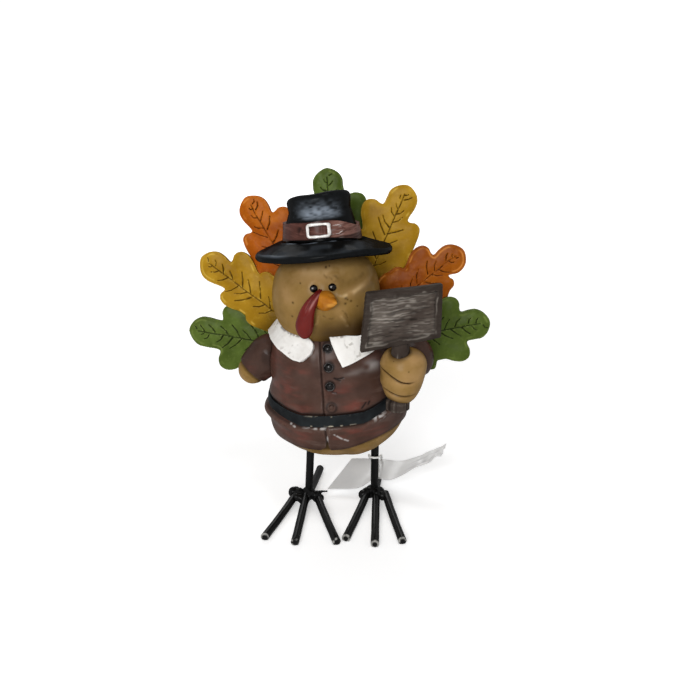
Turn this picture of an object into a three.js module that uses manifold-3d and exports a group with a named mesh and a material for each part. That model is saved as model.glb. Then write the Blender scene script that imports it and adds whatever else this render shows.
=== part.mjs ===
import * as THREE from 'three';
import { mergeVertices } from 'three/addons/utils/BufferGeometryUtils.js';
import Module from 'manifold-3d';

const wasm = await Module();
wasm.setup();

const radians = THREE.MathUtils.degToRad;
const degrees = THREE.MathUtils.radToDeg;
const lerp = THREE.MathUtils.lerp;
const vec = (x, y, z) => new THREE.Vector3(x, y, z);

// Fits and stance of the whole figure, in millimetres and degrees
const gap = 0.3;
const leanAngle = 4.5;
const axisX = 3.3;
const axisY = 2.6;
const pivotHeight = 45;

// Body and clothes
const bodyRadius = 26.4;
const bodyDepth = 0.94;
const bodyLow = 23.6;
const bodyMid = 41;
const bodyTop = 84;
const shoulderPower = 3;
const bellyPower = 1.85;
const bellyAside = -1.4;
const bellyFrom = 52;
const waistAside = 1.3;
const waistHeight = 58;
const jacketWall = 1.6;
const hemHeight = 34;
const hemSag = 3.2;
const splitWidth = 4;
const splitHeight = 6;
const placketX = -1.9;
const placketWidth = 0.7;
const placketDepth = 0.5;
const beltHeight = 47.4;
const beltSag = 5.5;
const beltWidth = 4.6;
const beltWall = 1.4;
const collarWall = 1.8;
const collarNeck = 79.5;
const collarBack = 76.5;
const collarEnd = 96;
const collars = {
  right: { side: -1, neckFront: 11, front: 21, point: 70.2 },
  left: { side: 1, neckFront: 3.6, front: 11.5, point: 68.4 },
};
const buttonRadius = 1.6;
const buttonDome = 1.2;
const buttonHeights = [75.6, 68.5, 61.3, 52.9];
const buttonTurn = 1.3;

// Head and face
const headCentre = vec(-0.5, -5, 90.3);
const headRadii = vec(21, 20, 19.8);
const headPower = 2.6;
const chinPower = 2;
const faceX = 1;
const eyeRadius = 1.3;
const eyeSpread = 6.9;
const eyeRise = 9.3;
const beakRadius = 3.9;
const beakLength = 8.6;
const beakRise = 4.6;
const beakDroop = -8;
const beakYaw = 24;
const snoodThin = 1.5;
const snoodFat = 3.8;
const snoodFlat = 0.8;

// Hat
const hatBase = vec(0, -5, 110);
const hatTiltBack = 6;
const hatTiltSide = 1.5;
const brimRadius = 26.4;
const brimEdge = 3;
const brimRise = 3;
const brimRidge = 2.6;
const crownRadius = 15;
const crownTopRadius = 12.4;
const crownHeight = 21;
const crownCorner = 2.4;
const crownWaist = 0.6;
const crownPitch = 0.14;
const crownSlant = 0.07;
const bandLow = 5.8;
const bandWidth = 6.2;
const bandWall = 1;
const buckleWidth = 9.8;
const buckleHeight = 6.6;
const buckleFrame = 1.4;
const buckleWall = 1.2;

// Arms and sign
const armTop = vec(-20.4, -1, 72.4);
const cuffRight = vec(-33.2, -2, 61);
const sleeveRadius = 8;
const cuffRadius = 6.8;
const handRadii = vec(5.8, 5.6, 5.9);
const fistCentre = vec(28.8, -20, 62.6);
const fistRadii = vec(8.8, 8.4, 10.8);
const fistTaper = 0.2;
const fistTurn = 10;
const fingerPitch = 6.4;
const fingerGroove = 0.7;
const postRadius = 3.2;
const postLow = vec(25.4, -22.5, 49.4);
const postHigh = vec(30.4, -22.5, 94);
const boardCentre = vec(30.2, -25.4, 87.6);
const boardWidth = 30.4;
const boardTall = 22.6;
const boardShort = 20.6;
const boardLeanRight = 1.6;
const boardLeanLeft = 0.4;
const boardWall = 3.2;
const boardBevel = 0.7;
const boardYaw = 14;
const boardRoll = 2;

// Tail fan: the tips lie on a circle, and the stems come from a hub inside the back of the jacket
const fanRadius = 61.4;
const fanX = -1;
const fanHeight = 74;
const fanY = 18.5;
const fanTilt = 12;
const hubHeight = 60.5;
const fanSpread = 160;
const leafLength = 51;
const leafWall = 3;
const leafPitch = 1.5;
const stemReach = 13;
const stemWidth = 5.6;
const veinWidth = 0.7;
const veinDepth = 0.5;
const veinAngle = 38;

// Legs and feet
const wireRadius = 1.6;
const toeHeight = 1.35;
const socketDepth = 6;
const weldHeight = 3.3;
const weldRadii = vec(5.4, 4, 3);

// Hang tag and the loop that holds it
const tagWall = 0.5;
const loopWire = 0.45;
const loopHeight = 20.4;
const loopRadius = wireRadius + 0.4 + loopWire;

// A closed geometry becomes a solid for cutting
function solid(geometry) {
  const plain = geometry.clone();
  for (const name of Object.keys(plain.attributes)) if (name !== 'position') plain.deleteAttribute(name);
  const welded = mergeVertices(plain, 1e-4);
  return new wasm.Manifold(new wasm.Mesh({
    numProp: 3,
    vertProperties: new Float32Array(welded.attributes.position.array),
    triVerts: new Uint32Array(welded.index.array),
  }));
}

// A cut can leave slivers behind, and only the main body is kept
function cut(shape, ...tools) {
  const rest = tools.reduce((left, tool) => left.subtract(tool), shape);
  return rest.decompose().reduce((best, each) => (each.volume() > best.volume() ? each : best));
}

function geometryOf(shape) {
  const { vertProperties, triVerts } = shape.getMesh();
  const geometry = new THREE.BufferGeometry();
  geometry.setAttribute('position', new THREE.BufferAttribute(new Float32Array(vertProperties), 3));
  geometry.setIndex(new THREE.BufferAttribute(new Uint32Array(triVerts), 1));
  geometry.computeVertexNormals();
  return geometry;
}

function turned(geometry, position, x = 0, y = 0, z = 0) {
  const turn = new THREE.Euler(radians(x), radians(y), radians(z), 'ZYX');
  return geometry.applyMatrix4(new THREE.Matrix4().makeRotationFromEuler(turn).setPosition(position));
}

// A lathe turns about Y, and the figure stands on Z
function lathe(profile, segments) {
  const points = profile.map(([r, z]) => new THREE.Vector2(r, z));
  return new THREE.LatheGeometry(points, segments).rotateX(Math.PI / 2);
}

// A rounded form, squarer as its power grows, with its own power for the lower half
function roundForm(radii, power, grow, rows, segments, lowPower = power) {
  const profile = [];
  for (let i = 0; i <= rows; i++) {
    const angle = Math.PI * (i / rows - 0.5);
    const bulge = 2 / (angle < 0 ? lowPower : power);
    const rise = Math.sign(angle) * Math.abs(Math.sin(angle)) ** bulge;
    profile.push([i % rows ? Math.cos(angle) ** bulge : 0, rise]);
  }
  return lathe(profile, segments).scale(radii.x + grow, radii.y + grow, radii.z + grow);
}

// Every point of a form goes through the same change
function reshaped(form, change) {
  const place = form.attributes.position;
  for (let i = 0; i < place.count; i++) {
    const point = change(new THREE.Vector3().fromBufferAttribute(place, i));
    place.setXYZ(i, point.x, point.y, point.z);
  }
  return form;
}

// A rod with round ends, which can taper, as a profile along Z
function pill(length, startRadius, endRadius, rows = 6, steps = 3) {
  const profile = [];
  for (let i = 0; i < steps; i++) {
    const angle = Math.PI / 2 * i / steps;
    profile.push([startRadius * Math.sin(angle), startRadius * (1 - Math.cos(angle))]);
  }
  for (let i = 0; i <= rows; i++) {
    const t = i / rows;
    profile.push([lerp(startRadius, endRadius, t), lerp(startRadius, length - endRadius, t)]);
  }
  for (let i = steps - 1; i >= 0; i--) {
    const angle = Math.PI / 2 * i / steps;
    profile.push([endRadius * Math.sin(angle), length - endRadius * (1 - Math.cos(angle))]);
  }
  return profile;
}

// A form that stands on Z is laid along a curve, with its Y kept to the front and back
function bent(form, curve) {
  const length = curve.getLength();
  return reshaped(form, ({ x, y, z }) => {
    const t = THREE.MathUtils.clamp(z / length, 0, 1);
    const along = curve.getTangentAt(t);
    const side = vec(0.02, 1, 0.03).cross(along).normalize();
    const front = along.clone().cross(side);
    return curve.getPointAt(t).addScaledVector(side, x).addScaledVector(front, y);
  });
}

function rod(from, to, radius, segments) {
  const form = new THREE.CylinderGeometry(radius, radius, from.distanceTo(to), segments);
  const turn = new THREE.Quaternion().setFromUnitVectors(vec(0, 1, 0), to.clone().sub(from).normalize());
  return solid(form.applyQuaternion(turn).translate(...from.clone().add(to).divideScalar(2).toArray()));
}

function slab(width, depth, height, centre) {
  return solid(new THREE.BoxGeometry(width, depth, height).translate(...centre.toArray()));
}

// A closed sheet between two surfaces that share the same two coordinates
function sheet(under, over, across, along) {
  const points = [];
  const faces = [];
  const stride = across + 1;
  const layer = stride * (along + 1);
  for (const surface of [under, over]) {
    for (let j = 0; j <= along; j++) {
      for (let i = 0; i <= across; i++) points.push(...surface(i / across, j / along).toArray());
    }
  }
  const quad = (a, b, c, d) => faces.push(a, b, c, a, c, d);
  for (let j = 0; j < along; j++) {
    for (let i = 0; i < across; i++) {
      const a = j * stride + i;
      quad(a, a + stride, a + stride + 1, a + 1);
      quad(layer + a, layer + a + 1, layer + a + stride + 1, layer + a + stride);
    }
  }
  for (let i = 0; i < across; i++) {
    const far = along * stride + i;
    quad(i, i + 1, layer + i + 1, layer + i);
    quad(far + 1, far, layer + far, layer + far + 1);
  }
  for (let j = 0; j < along; j++) {
    const near = j * stride;
    const far = near + across;
    quad(near + stride, near, layer + near, layer + near + stride);
    quad(far, far + stride, layer + far + stride, layer + far);
  }
  const geometry = new THREE.BufferGeometry();
  geometry.setAttribute('position', new THREE.BufferAttribute(new Float32Array(points), 3));
  geometry.setIndex(faces);
  const shape = solid(geometry);
  return shape.volume() > 0 ? shape : solid(geometry.setIndex(faces.reverse()));
}

// The barrel of the body: an ellipse below, a fuller curve above, and the waist and belly set aside
const barrelRise = (upper) => (upper ? bodyTop - bodyMid : bodyMid - bodyLow);
function barrelPoint(turn, angle, grow) {
  const power = angle < 0 ? bellyPower : shoulderPower;
  const r = (bodyRadius + grow) * Math.abs(Math.cos(angle)) ** (2 / power);
  const rise = (barrelRise(angle >= 0) + grow) * Math.abs(Math.sin(angle)) ** (2 / power);
  return vec(r * Math.sin(turn), -r * Math.cos(turn) * bodyDepth, bodyMid + Math.sign(angle) * rise);
}
function barrelAside(z) {
  const waist = waistAside * Math.exp(-(((z - waistHeight) / 6) ** 2));
  return waist + bellyAside * THREE.MathUtils.smoothstep(bellyFrom - z, 0, bellyFrom - hemHeight);
}
function barrelAngle(height) {
  return Math.asin(((height - bodyMid) / barrelRise(true)) ** (shoulderPower / 2));
}
function barrel(grow) {
  const rows = 14;
  const profile = [];
  for (let i = 0; i <= rows; i++) {
    const point = barrelPoint(Math.PI / 2, Math.PI * (i / rows - 0.5), grow);
    profile.push([i % rows ? point.x : 0, point.z]);
  }
  const form = lathe(profile, 32).scale(1, bodyDepth, 1);
  return solid(reshaped(form, (point) => point.setX(point.x + barrelAside(point.z))));
}

const figure = new THREE.Group();
figure.name = 'turkey_figure';
const upper = new THREE.Group();
upper.position.set(axisX, axisY, pivotHeight);
upper.rotation.y = radians(-leanAngle);
figure.add(upper);

const paint = {
  tan: ['#9a7b4a', 0.35, 0],
  brown: ['#4c352d', 0.4, 0],
  charcoal: ['#23232a', 0.3, 0],
  white: ['#e8e6e0', 0.4, 0],
  orange: ['#bf6418', 0.35, 0],
  red: ['#7a2527', 0.3, 0],
  metal: ['#9a958c', 0.35, 0.8],
  wood: ['#54484a', 0.6, 0],
  green: ['#4f6327', 0.35, 0],
  yellow: ['#b48e26', 0.35, 0],
  wire: ['#1c1c1e', 0.35, 0.5],
  film: ['#d9d8c8', 0.3, 0],
};
function add(group, name, shape, skin) {
  const [color, roughness, metalness] = paint[skin];
  const material = new THREE.MeshStandardMaterial({ color, roughness, metalness });
  const mesh = new THREE.Mesh(geometryOf(shape), material);
  mesh.name = name;
  if (group === upper) mesh.position.z = -pivotHeight;
  group.add(mesh);
}

// Head
function headForm(grow) {
  return solid(turned(roundForm(headRadii, headPower, grow, 12, 30, chinPower), headCentre));
}
const headGrown = headForm(gap);
add(upper, 'head', headForm(0), 'tan');

// Legs stand upright under a body that leans, so their sockets are turned back into the body
const feet = [
  { side: 'right', ankle: vec(-9.2, 1.4, 2), hip: vec(-8.2, 3.6, bodyLow + socketDepth) },
  { side: 'left', ankle: vec(18.2, 4.4, 2), hip: vec(18.2, 4.4, bodyLow + socketDepth + 3) },
];
upper.updateMatrix();
const intoBody = new THREE.Matrix4().makeTranslation(0, 0, -pivotHeight).premultiply(upper.matrix).invert();
const socket = ({ ankle, hip }) => {
  const ends = [ankle, hip].map((point) => point.clone().applyMatrix4(intoBody));
  ends[1].add(ends[1].clone().sub(ends[0]).setLength(gap));
  return rod(...ends, wireRadius + gap, 14);
};
add(upper, 'body', cut(barrel(0), headGrown, ...feet.map(socket)), 'tan');

// Jacket: open below the hem, split at the front, with a line where its edges meet
const jacketOut = gap + jacketWall;
const wornOut = jacketOut + gap;
const jacketGrown = barrel(wornOut);
const reach = 4 * bodyRadius;
// The hem and the belt sag under the belly at the front
const sagging = (height, sag, rate) => (u, v) => {
  const y = lerp(-reach / 2, reach / 2, v);
  const back = Math.max(0, 1 + y / (bodyRadius * bodyDepth));
  return vec(lerp(-reach / 2, reach / 2, u), y, height + sag * Math.tanh(rate * back));
};
const belowHem = sheet(sagging(0, 0, 1), sagging(hemHeight, hemSag, 1.5), 1, 24);
const splitShape = new THREE.Shape([
  new THREE.Vector2(-splitWidth / 2, -1),
  new THREE.Vector2(splitWidth / 2, -1),
  new THREE.Vector2(0, splitHeight),
]);
const splitForm = new THREE.ExtrudeGeometry(splitShape, { depth: reach, bevelEnabled: false });
const split = solid(turned(splitForm, vec(placketX, 0, hemHeight), 90));
const placket = slab(placketWidth, reach, bodyTop, vec(placketX, -reach / 2, bodyTop / 2))
  .subtract(barrel(jacketOut - placketDepth));
add(upper, 'jacket', cut(barrel(jacketOut), barrel(gap), headGrown, belowHem, split, placket), 'brown');

// Belt
function beltForm(grow) {
  const half = beltWidth / 2 + grow;
  const [under, over] = [-half, half].map((offset) => sagging(beltHeight + offset, beltSag, 3));
  return barrel(wornOut + beltWall + grow).intersect(sheet(under, over, 1, 24));
}
add(upper, 'belt', cut(beltForm(0), jacketGrown), 'charcoal');

// Collar flaps: pointed at the front, narrower round the neck
function collar({ side, neckFront, front, point }, grow) {
  const surface = (out) => (u, v) => {
    const turn = radians(lerp(lerp(neckFront, front, v), collarEnd, u));
    const outer = lerp(point, collarBack, Math.sin(u * Math.PI / 2)) - grow * 2;
    return barrelPoint(side * turn, barrelAngle(lerp(collarNeck, outer, v)), out);
  };
  return cut(sheet(surface(wornOut - grow), surface(wornOut + collarWall + grow), 9, 3), headGrown);
}
for (const [side, flap] of Object.entries(collars)) add(upper, `collar_${side}`, collar(flap, 0), 'white');

// Buttons sit square to the jacket front
const buttonProfile = [[0, -buttonDome], [buttonRadius, -buttonDome]];
for (let i = 0; i <= 4; i++) {
  const angle = Math.PI / 2 * i / 4;
  buttonProfile.push([i < 4 ? buttonRadius * Math.cos(angle) : 0, buttonDome * Math.sin(angle)]);
}
buttonHeights.forEach((height, i) => {
  const seat = barrelPoint(radians(buttonTurn), barrelAngle(height), wornOut);
  const above = barrelPoint(radians(buttonTurn), barrelAngle(height + 1), wornOut);
  const slope = degrees(Math.atan2(above.y - seat.y, above.z - seat.z));
  const button = solid(turned(lathe(buttonProfile, 12), seat, 90 - slope));
  add(upper, `button_${i + 1}`, cut(button, jacketGrown, headGrown), 'metal');
});

// Hat: a drooping brim with a rolled edge and a waisted crown, hollowed where the head goes in
const crownRise = brimEdge / 2 + brimRise;
const crownSide = crownHeight - crownCorner - crownRise;
const crownAt = (z) => lerp(crownRadius, crownTopRadius, (z - crownRise) / crownSide);
const bandTop = bandLow + bandWidth;
const inHat = (form) => solid(turned(form, hatBase, -hatTiltBack, -hatTiltSide));
function hatProfile(grow) {
  const edge = brimEdge / 2 + grow;
  const profile = [[0, -edge]];
  for (let i = 0; i <= 4; i++) {
    const angle = Math.PI * (i / 4 - 0.5);
    profile.push([brimRadius - brimEdge / 2 + edge * Math.cos(angle), edge * Math.sin(angle)]);
  }
  profile.push([crownRadius + brimRidge + grow, crownRise + grow], [crownRadius + grow, crownRise + grow]);
  const waist = lerp(bandTop, crownHeight - crownCorner, 0.5);
  profile.push([crownAt(bandTop) + grow, bandTop], [crownAt(waist) - crownWaist + grow, waist]);
  for (let i = 0; i <= 3; i++) {
    const angle = Math.PI / 2 * i / 3;
    const r = crownTopRadius - crownCorner + (crownCorner + grow) * Math.cos(angle);
    profile.push([r, crownHeight - crownCorner + (crownCorner + grow) * Math.sin(angle)]);
  }
  profile.push([0, crownHeight - 0.4 + grow]);
  return profile;
}
// The top of the crown slopes down to the back and to one side
function hatForm(grow) {
  return inHat(reshaped(lathe(hatProfile(grow), 32), (point) => {
    const share = Math.max(0, point.z - bandTop) / (crownHeight - bandTop);
    return point.setZ(point.z + share * (crownSlant * point.x - crownPitch * point.y));
  }));
}
const hatGrown = hatForm(gap);
add(upper, 'hat', cut(hatForm(0), headGrown), 'charcoal');

// Hat band and its buckle
function bandForm(grow) {
  const out = gap + bandWall + grow;
  return inHat(lathe([[0, bandLow - grow], [crownAt(bandLow) + out, bandLow - grow],
    [crownAt(bandTop) + out, bandTop + grow], [0, bandTop + grow]], 32));
}
add(upper, 'hat_band', cut(bandForm(0), hatGrown), 'brown');

function roundedBox(Type, width, height, corner) {
  const x = width / 2 - corner;
  const y = height / 2 - corner;
  const quarter = Math.PI / 2;
  const outline = new Type();
  [[x, y], [-x, y], [-x, -y], [x, -y]].forEach((centre, i) => {
    outline.absarc(...centre, corner, i * quarter, (i + 1) * quarter);
  });
  return outline.closePath();
}
const buckleShape = roundedBox(THREE.Shape, buckleWidth, buckleHeight, 1.8);
const windowWidth = buckleWidth - 2 * buckleFrame;
const windowHeight = buckleHeight - 2 * buckleFrame;
buckleShape.holes.push(roundedBox(THREE.Path, windowWidth, windowHeight, 0.6));
const buckleDeep = 3;
const buckleFront = crownAt(bandLow) + bandWall + 2 * gap + buckleWall;
const buckleCut = { depth: buckleDeep, bevelEnabled: false, curveSegments: 3 };
const buckleForm = new THREE.ExtrudeGeometry(buckleShape, buckleCut);
buckleForm.rotateX(Math.PI / 2).translate(0, buckleDeep - buckleFront, bandLow + bandWidth / 2);
add(upper, 'hat_buckle', cut(inHat(buckleForm), bandForm(gap), hatGrown), 'metal');

// Face
const eyeHeight = headCentre.z + eyeRise;
const beakHeight = headCentre.z + beakRise;
function faceY(x, z) {
  const level = Math.abs((z - headCentre.z) / (headRadii.z + gap));
  const ring = (1 - level ** headPower) ** (1 / headPower);
  const aside = (x - headCentre.x) / (headRadii.x + gap);
  return headCentre.y - (headRadii.y + gap) * Math.sqrt(ring ** 2 - aside ** 2);
}
const eyeForm = (x, grow) => {
  const ball = new THREE.SphereGeometry(eyeRadius + grow, 12, 8);
  return solid(ball.translate(x, faceY(x, eyeHeight), eyeHeight));
};
const eyeX = { right: faceX - eyeSpread / 2, left: faceX + eyeSpread / 2 };
for (const [side, x] of Object.entries(eyeX)) {
  add(upper, `eye_${side}`, cut(eyeForm(x, 0), headGrown), 'charcoal');
}
function beakForm(grow) {
  const profile = [[0, -2]];
  for (let i = 0; i <= 6; i++) {
    const t = i / 6;
    profile.push([i < 6 ? beakRadius * (1 - t ** 1.9) + grow : 0, beakLength * t + grow * 2 * t]);
  }
  const seat = vec(faceX, faceY(faceX, beakHeight) + 1, beakHeight);
  return solid(turned(lathe(profile, 16), seat, 90 + beakDroop, 0, beakYaw));
}
add(upper, 'beak', cut(beakForm(0), headGrown), 'orange');
const snoodY = faceY(faceX, eyeHeight);
const snoodCurve = new THREE.CatmullRomCurve3([
  vec(-0.4, 0.8, 0.4),
  vec(-2.6, -2.8, -2),
  vec(-5.4, -3.8, -6.4),
  vec(-7.4, -3.6, -12),
  vec(-8.2, -3, -18.8),
].map((point) => point.add(vec(faceX, snoodY, eyeHeight))));
const snoodForm = lathe(pill(snoodCurve.getLength(), snoodThin, snoodFat, 7), 12).scale(1, snoodFlat, 1);
const snoodCuts = [headGrown, beakForm(gap), eyeForm(eyeX.right, gap)];
add(upper, 'snood', cut(solid(bent(snoodForm, snoodCurve)), ...snoodCuts), 'red');

// Right arm: a short sleeve cut square at the cuff, with the hand let into it
const armRight = new THREE.LineCurve3(armTop, cuffRight);
const armDrop = degrees(Math.atan2(armTop.x - cuffRight.x, armTop.z - cuffRight.z));
const handForm = (grow) => solid(turned(roundForm(handRadii, 2.2, grow, 8, 16), cuffRight, 0, armDrop));
const armLength = armRight.getLength();
const sleeveProfile = pill(armLength + cuffRadius, sleeveRadius, cuffRadius, 3).slice(0, 7);
const sleeveRight = bent(lathe([...sleeveProfile, [0, armLength]], 18), armRight);
const cuffCuts = [jacketGrown, handForm(gap), collar(collars.right, gap)];
add(upper, 'sleeve_right', cut(solid(sleeveRight), ...cuffCuts), 'brown');
add(upper, 'hand_right', cut(handForm(0), jacketGrown), 'tan');

// Sign board, seated on a flat across the front of its post
function boardForm(grow) {
  const x = boardWidth / 2 - boardBevel + grow;
  const tall = boardTall / 2 - boardBevel + grow;
  const short = boardShort / 2 - boardBevel + grow;
  const corners = [
    [-x - boardLeanRight, -tall],
    [x - boardLeanLeft, -short],
    [x + boardLeanLeft, short],
    [-x + boardLeanRight, tall],
  ];
  const shape = new THREE.Shape(corners.map((corner) => new THREE.Vector2(...corner)));
  const depth = boardWall - 2 * boardBevel + 2 * grow;
  const bevel = { bevelThickness: boardBevel, bevelSize: boardBevel, bevelSegments: 2 };
  const form = new THREE.ExtrudeGeometry(shape, { depth, ...bevel }).translate(0, 0, -depth / 2);
  return solid(turned(form.rotateX(Math.PI / 2), boardCentre, 0, -boardRoll, boardYaw));
}
const postGrown = rod(postLow, postHigh, postRadius + gap, 18);
add(upper, 'sign_board', boardForm(0), 'wood');
add(upper, 'sign_post', cut(rod(postLow, postHigh, postRadius, 18), boardForm(gap)), 'wood');

// Left arm: the fist closes round the post, broad at the top, with grooves between its fingers
function fistForm(grow) {
  const form = roundForm(fistRadii, 2.5, grow, 10, 20);
  reshaped(form, (point) => point.setX(point.x * (1 + fistTaper * point.z / fistRadii.z)));
  return solid(turned(form, fistCentre, 0, fistTurn));
}
const grooves = [-0.5, 0.5].map((row) => {
  const ring = new THREE.TorusGeometry(1, fingerGroove / fistRadii.x, 4, 20);
  ring.scale(fistRadii.x * (1 + fistTaper * row * fingerPitch / fistRadii.z), fistRadii.y, fistRadii.x);
  return solid(turned(ring, fistCentre.clone().add(vec(0, 0, row * fingerPitch)), 0, 2 * fistTurn));
});
const fist = cut(fistForm(0), postGrown, ...grooves, jacketGrown, beltForm(gap), boardForm(gap));
add(upper, 'hand_left', fist, 'tan');
const armLeft = new THREE.CatmullRomCurve3([vec(19, 0, 70), vec(29, -3, 66), vec(33, -14, 61)]);
const sleeveLeft = bent(lathe(pill(armLeft.getLength(), 8, 9.2, 5, 3), 18), armLeft);
const sleeveCuts = [jacketGrown, fistForm(gap), postGrown, collar(collars.left, gap)];
add(upper, 'sleeve_left', cut(solid(sleeveLeft), ...sleeveCuts), 'brown');

// Leaves: one lobed outline turned about the hub, each cut where a leaf in front covers it
const leafSide = [
  [0.2, 4.4], [0.3, 6.6], [0.38, 9.2], [0.45, 11], [0.5, 11.2], [0.535, 10], [0.55, 8.8],
  [0.6, 9.8], [0.66, 11.6], [0.73, 12.3], [0.785, 11.2], [0.805, 8.8], [0.795, 6.6],
  [0.8, 5.4], [0.86, 5.6], [0.92, 5.4], [0.97, 3.7],
];
const hubDrop = fanHeight - hubHeight;
const leafAngle = ({ index }) => radians(90 - fanSpread / 2 + index * fanSpread / 6);
function leafBase(leaf) {
  const angle = leafAngle(leaf);
  const tipReach = hubDrop * Math.sin(angle) + Math.sqrt(fanRadius ** 2 - (hubDrop * Math.cos(angle)) ** 2);
  return tipReach - leaf.short - leafLength;
}
function leafPlace(form, leaf) {
  form.translate(0, leaf.layer * leafPitch, leafBase(leaf));
  form.rotateY(Math.PI / 2 - leafAngle(leaf)).translate(0, 0, -hubDrop);
  return solid(form.rotateX(radians(-fanTilt)).translate(fanX, fanY, fanHeight));
}
// The lobes of a leaf can be wider or nearer the tip on one side, and its tip can bend aside
function leafForm(leaf, grow) {
  const stem = new THREE.Vector2(stemWidth / 2 + grow, stemReach - leafBase(leaf));
  const half = (side) => [
    new THREE.Vector2(side * stem.x, stem.y),
    ...leafSide.map(([t, w]) => {
      const share = t < 0.82 ? THREE.MathUtils.clamp((t - 0.3) / 0.25, 0, 1) : 0;
      const lobe = lerp(1, leaf.lobes[(side + 1) / 2], share);
      const z = (t + share * leaf.shift[(side + 1) / 2]) * leafLength;
      return new THREE.Vector2(side * (w * lobe + grow) + leaf.bend * t ** 2, z);
    }),
  ];
  const tip = new THREE.Vector2(leaf.bend, leafLength + grow);
  const [start, ...rest] = [...half(1), tip, ...half(-1).reverse()];
  const shape = new THREE.Shape().moveTo(start.x, start.y);
  shape.splineThru(rest);
  const depth = leafWall + 2 * grow;
  const form = new THREE.ExtrudeGeometry(shape, { depth, bevelEnabled: false, curveSegments: 2 });
  return leafPlace(form.translate(0, 0, -depth / 2).rotateX(Math.PI / 2), leaf);
}
function veins(leaf) {
  const groove = (length) => {
    return new THREE.BoxGeometry(veinWidth, 2 * veinDepth, length).translate(0, -leafWall / 2, 0);
  };
  const middle = groove(0.72 * leafLength).translate(0, 0, 0.56 * leafLength);
  const sides = [-1, 1].flatMap((side) => [[0.38, 0.17], [0.55, 0.17], [0.72, 0.12]].map(([t, share]) => {
    const length = share * leafLength;
    const vein = groove(length).translate(0, 0, length / 2).rotateY(radians(side * veinAngle));
    return vein.translate(0, 0, t * leafLength);
  }));
  const aside = Math.atan2(leaf.bend, leafLength);
  return [middle, ...sides].map((form) => leafPlace(form.rotateY(aside), leaf));
}
const fan = [
  { skin: 'green', side: 'left', index: 0, layer: -1.5, short: -0.8, bend: 0.8,
    lobes: [1, 1.1], shift: [0, 0] },
  { skin: 'yellow', side: 'right', index: 5, layer: -1.2, short: 1, bend: 1.8,
    lobes: [0.8, 0.97], shift: [-0.085, -0.01] },
  { skin: 'orange', side: 'left', index: 1, layer: -0.6, short: 2, bend: 0.2,
    lobes: [0.97, 0.76], shift: [0, -0.01] },
  { skin: 'orange', side: 'right', index: 4, layer: -0.2, short: 0, bend: -0.3,
    lobes: [0.84, 1], shift: [-0.05, 0] },
  { skin: 'green', side: 'right', index: 6, layer: 0, short: -0.4, bend: 1.6,
    lobes: [1.02, 1], shift: [-0.06, 0] },
  { skin: 'yellow', side: 'left', index: 2, layer: 0.4, short: -0.6, bend: 0,
    lobes: [1.1, 0.93], shift: [0, -0.05] },
  { skin: 'green', side: 'top', index: 3, layer: 1.2, short: 0, bend: 0.5,
    lobes: [1, 1.07], shift: [0, 0] },
];
const inFront = [jacketGrown, headGrown, hatGrown];
for (const leaf of fan) {
  const blade = cut(leafForm(leaf, 0), ...inFront, ...veins(leaf));
  add(upper, `leaf_${leaf.skin}_${leaf.side}`, blade, leaf.skin);
  inFront.push(leafForm(leaf, gap));
}

// Legs end in weld beads, and the toes spread from each bead and are flat where they stand
const toes = {
  right: [['middle', -1, -10, -37.2], ['outer', -5, -21.8, -31.8], ['inner', 3, 2.6, -35.6],
    ['rear', 0, -7.6, 30]],
  left: [['middle', 0.6, 20.4, -38.2], ['outer', 4.4, 30.4, -31], ['inner', -3, 7.2, -36.2],
    ['rear', 0, 19, 34]],
};
const floor = slab(200, 200, 20, vec(0, 0, -10));
for (const { side, ankle, hip } of feet) {
  add(figure, `leg_${side}`, rod(ankle, hip, wireRadius, 14), 'wire');
  const legGrown = rod(ankle.clone().setZ(ankle.z - gap), hip, wireRadius + gap, 14);
  const beadCentre = ankle.clone().setZ(weldHeight);
  const bead = (grow) => solid(turned(roundForm(weldRadii, 2, grow, 6, 14), beadCentre));
  add(figure, `weld_${side}`, cut(bead(0), legGrown), 'wire');
  const toeForm = ([name, offset, x, y], grow) => {
    const start = vec(ankle.x + offset, ankle.y, weldHeight);
    const bend = vec(lerp(start.x, x, 0.5), lerp(start.y, y, 0.5), toeHeight);
    const curve = new THREE.QuadraticBezierCurve3(start, bend, vec(x, y, toeHeight));
    const radius = wireRadius + grow;
    return solid(bent(lathe(pill(curve.getLength(), radius, radius, 4, 2), 10), curve));
  };
  const near = [floor, bead(gap), legGrown];
  for (const toe of toes[side]) {
    add(figure, `toe_${side}_${toe[0]}`, cut(toeForm(toe, 0), ...near), 'wire');
    near.push(toeForm(toe, gap));
  }
}

// Film tag, laid over the rear toe and curling up at its free end, on a closed loop round the left leg
const leftLeg = feet[1].ankle;
const edge = (points) => new THREE.CatmullRomCurve3(points.map((point) => vec(...point)));
const tagNear = edge([
  [-2, 7.6, 2.2], [11, 7.4, 3.4], [18.2, 9.4, 7], [25, 9.6, 7], [36, 10.4, 13], [45.6, 11.4, 18],
]);
const tagFar = edge([
  [7, 23.6, 9.4], [14, 24, 9.4], [21, 24, 9], [28, 23.6, 9], [37, 23, 12.6], [47.6, 21.6, 18.8],
]);
const tagSurface = (rise) => (u, v) => (
  tagNear.getPoint(u).lerp(tagFar.getPoint(u), v).add(vec(0, 0, rise)));
const loopBack = [
  [-1.8, 9, -7], [0.2, 14.4, -10.4], [1, 16.6, -13.2], [1.4, 20.4, -12.6], [1.8, 18.4, -9], [2.2, 9, -5.4],
];
const loopFront = [0, 45, 90, 135, 180].map((turn) => {
  const angle = radians(turn);
  return [loopRadius * Math.cos(angle), -loopRadius * Math.sin(angle), 0];
});
const loopCurve = new THREE.CatmullRomCurve3([...loopFront, ...loopBack].map((point) => (
  vec(...point).add(vec(leftLeg.x, leftLeg.y, loopHeight)))), true);
const loopForm = (grow) => solid(new THREE.TubeGeometry(loopCurve, 32, loopWire + grow, 5, true));
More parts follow.
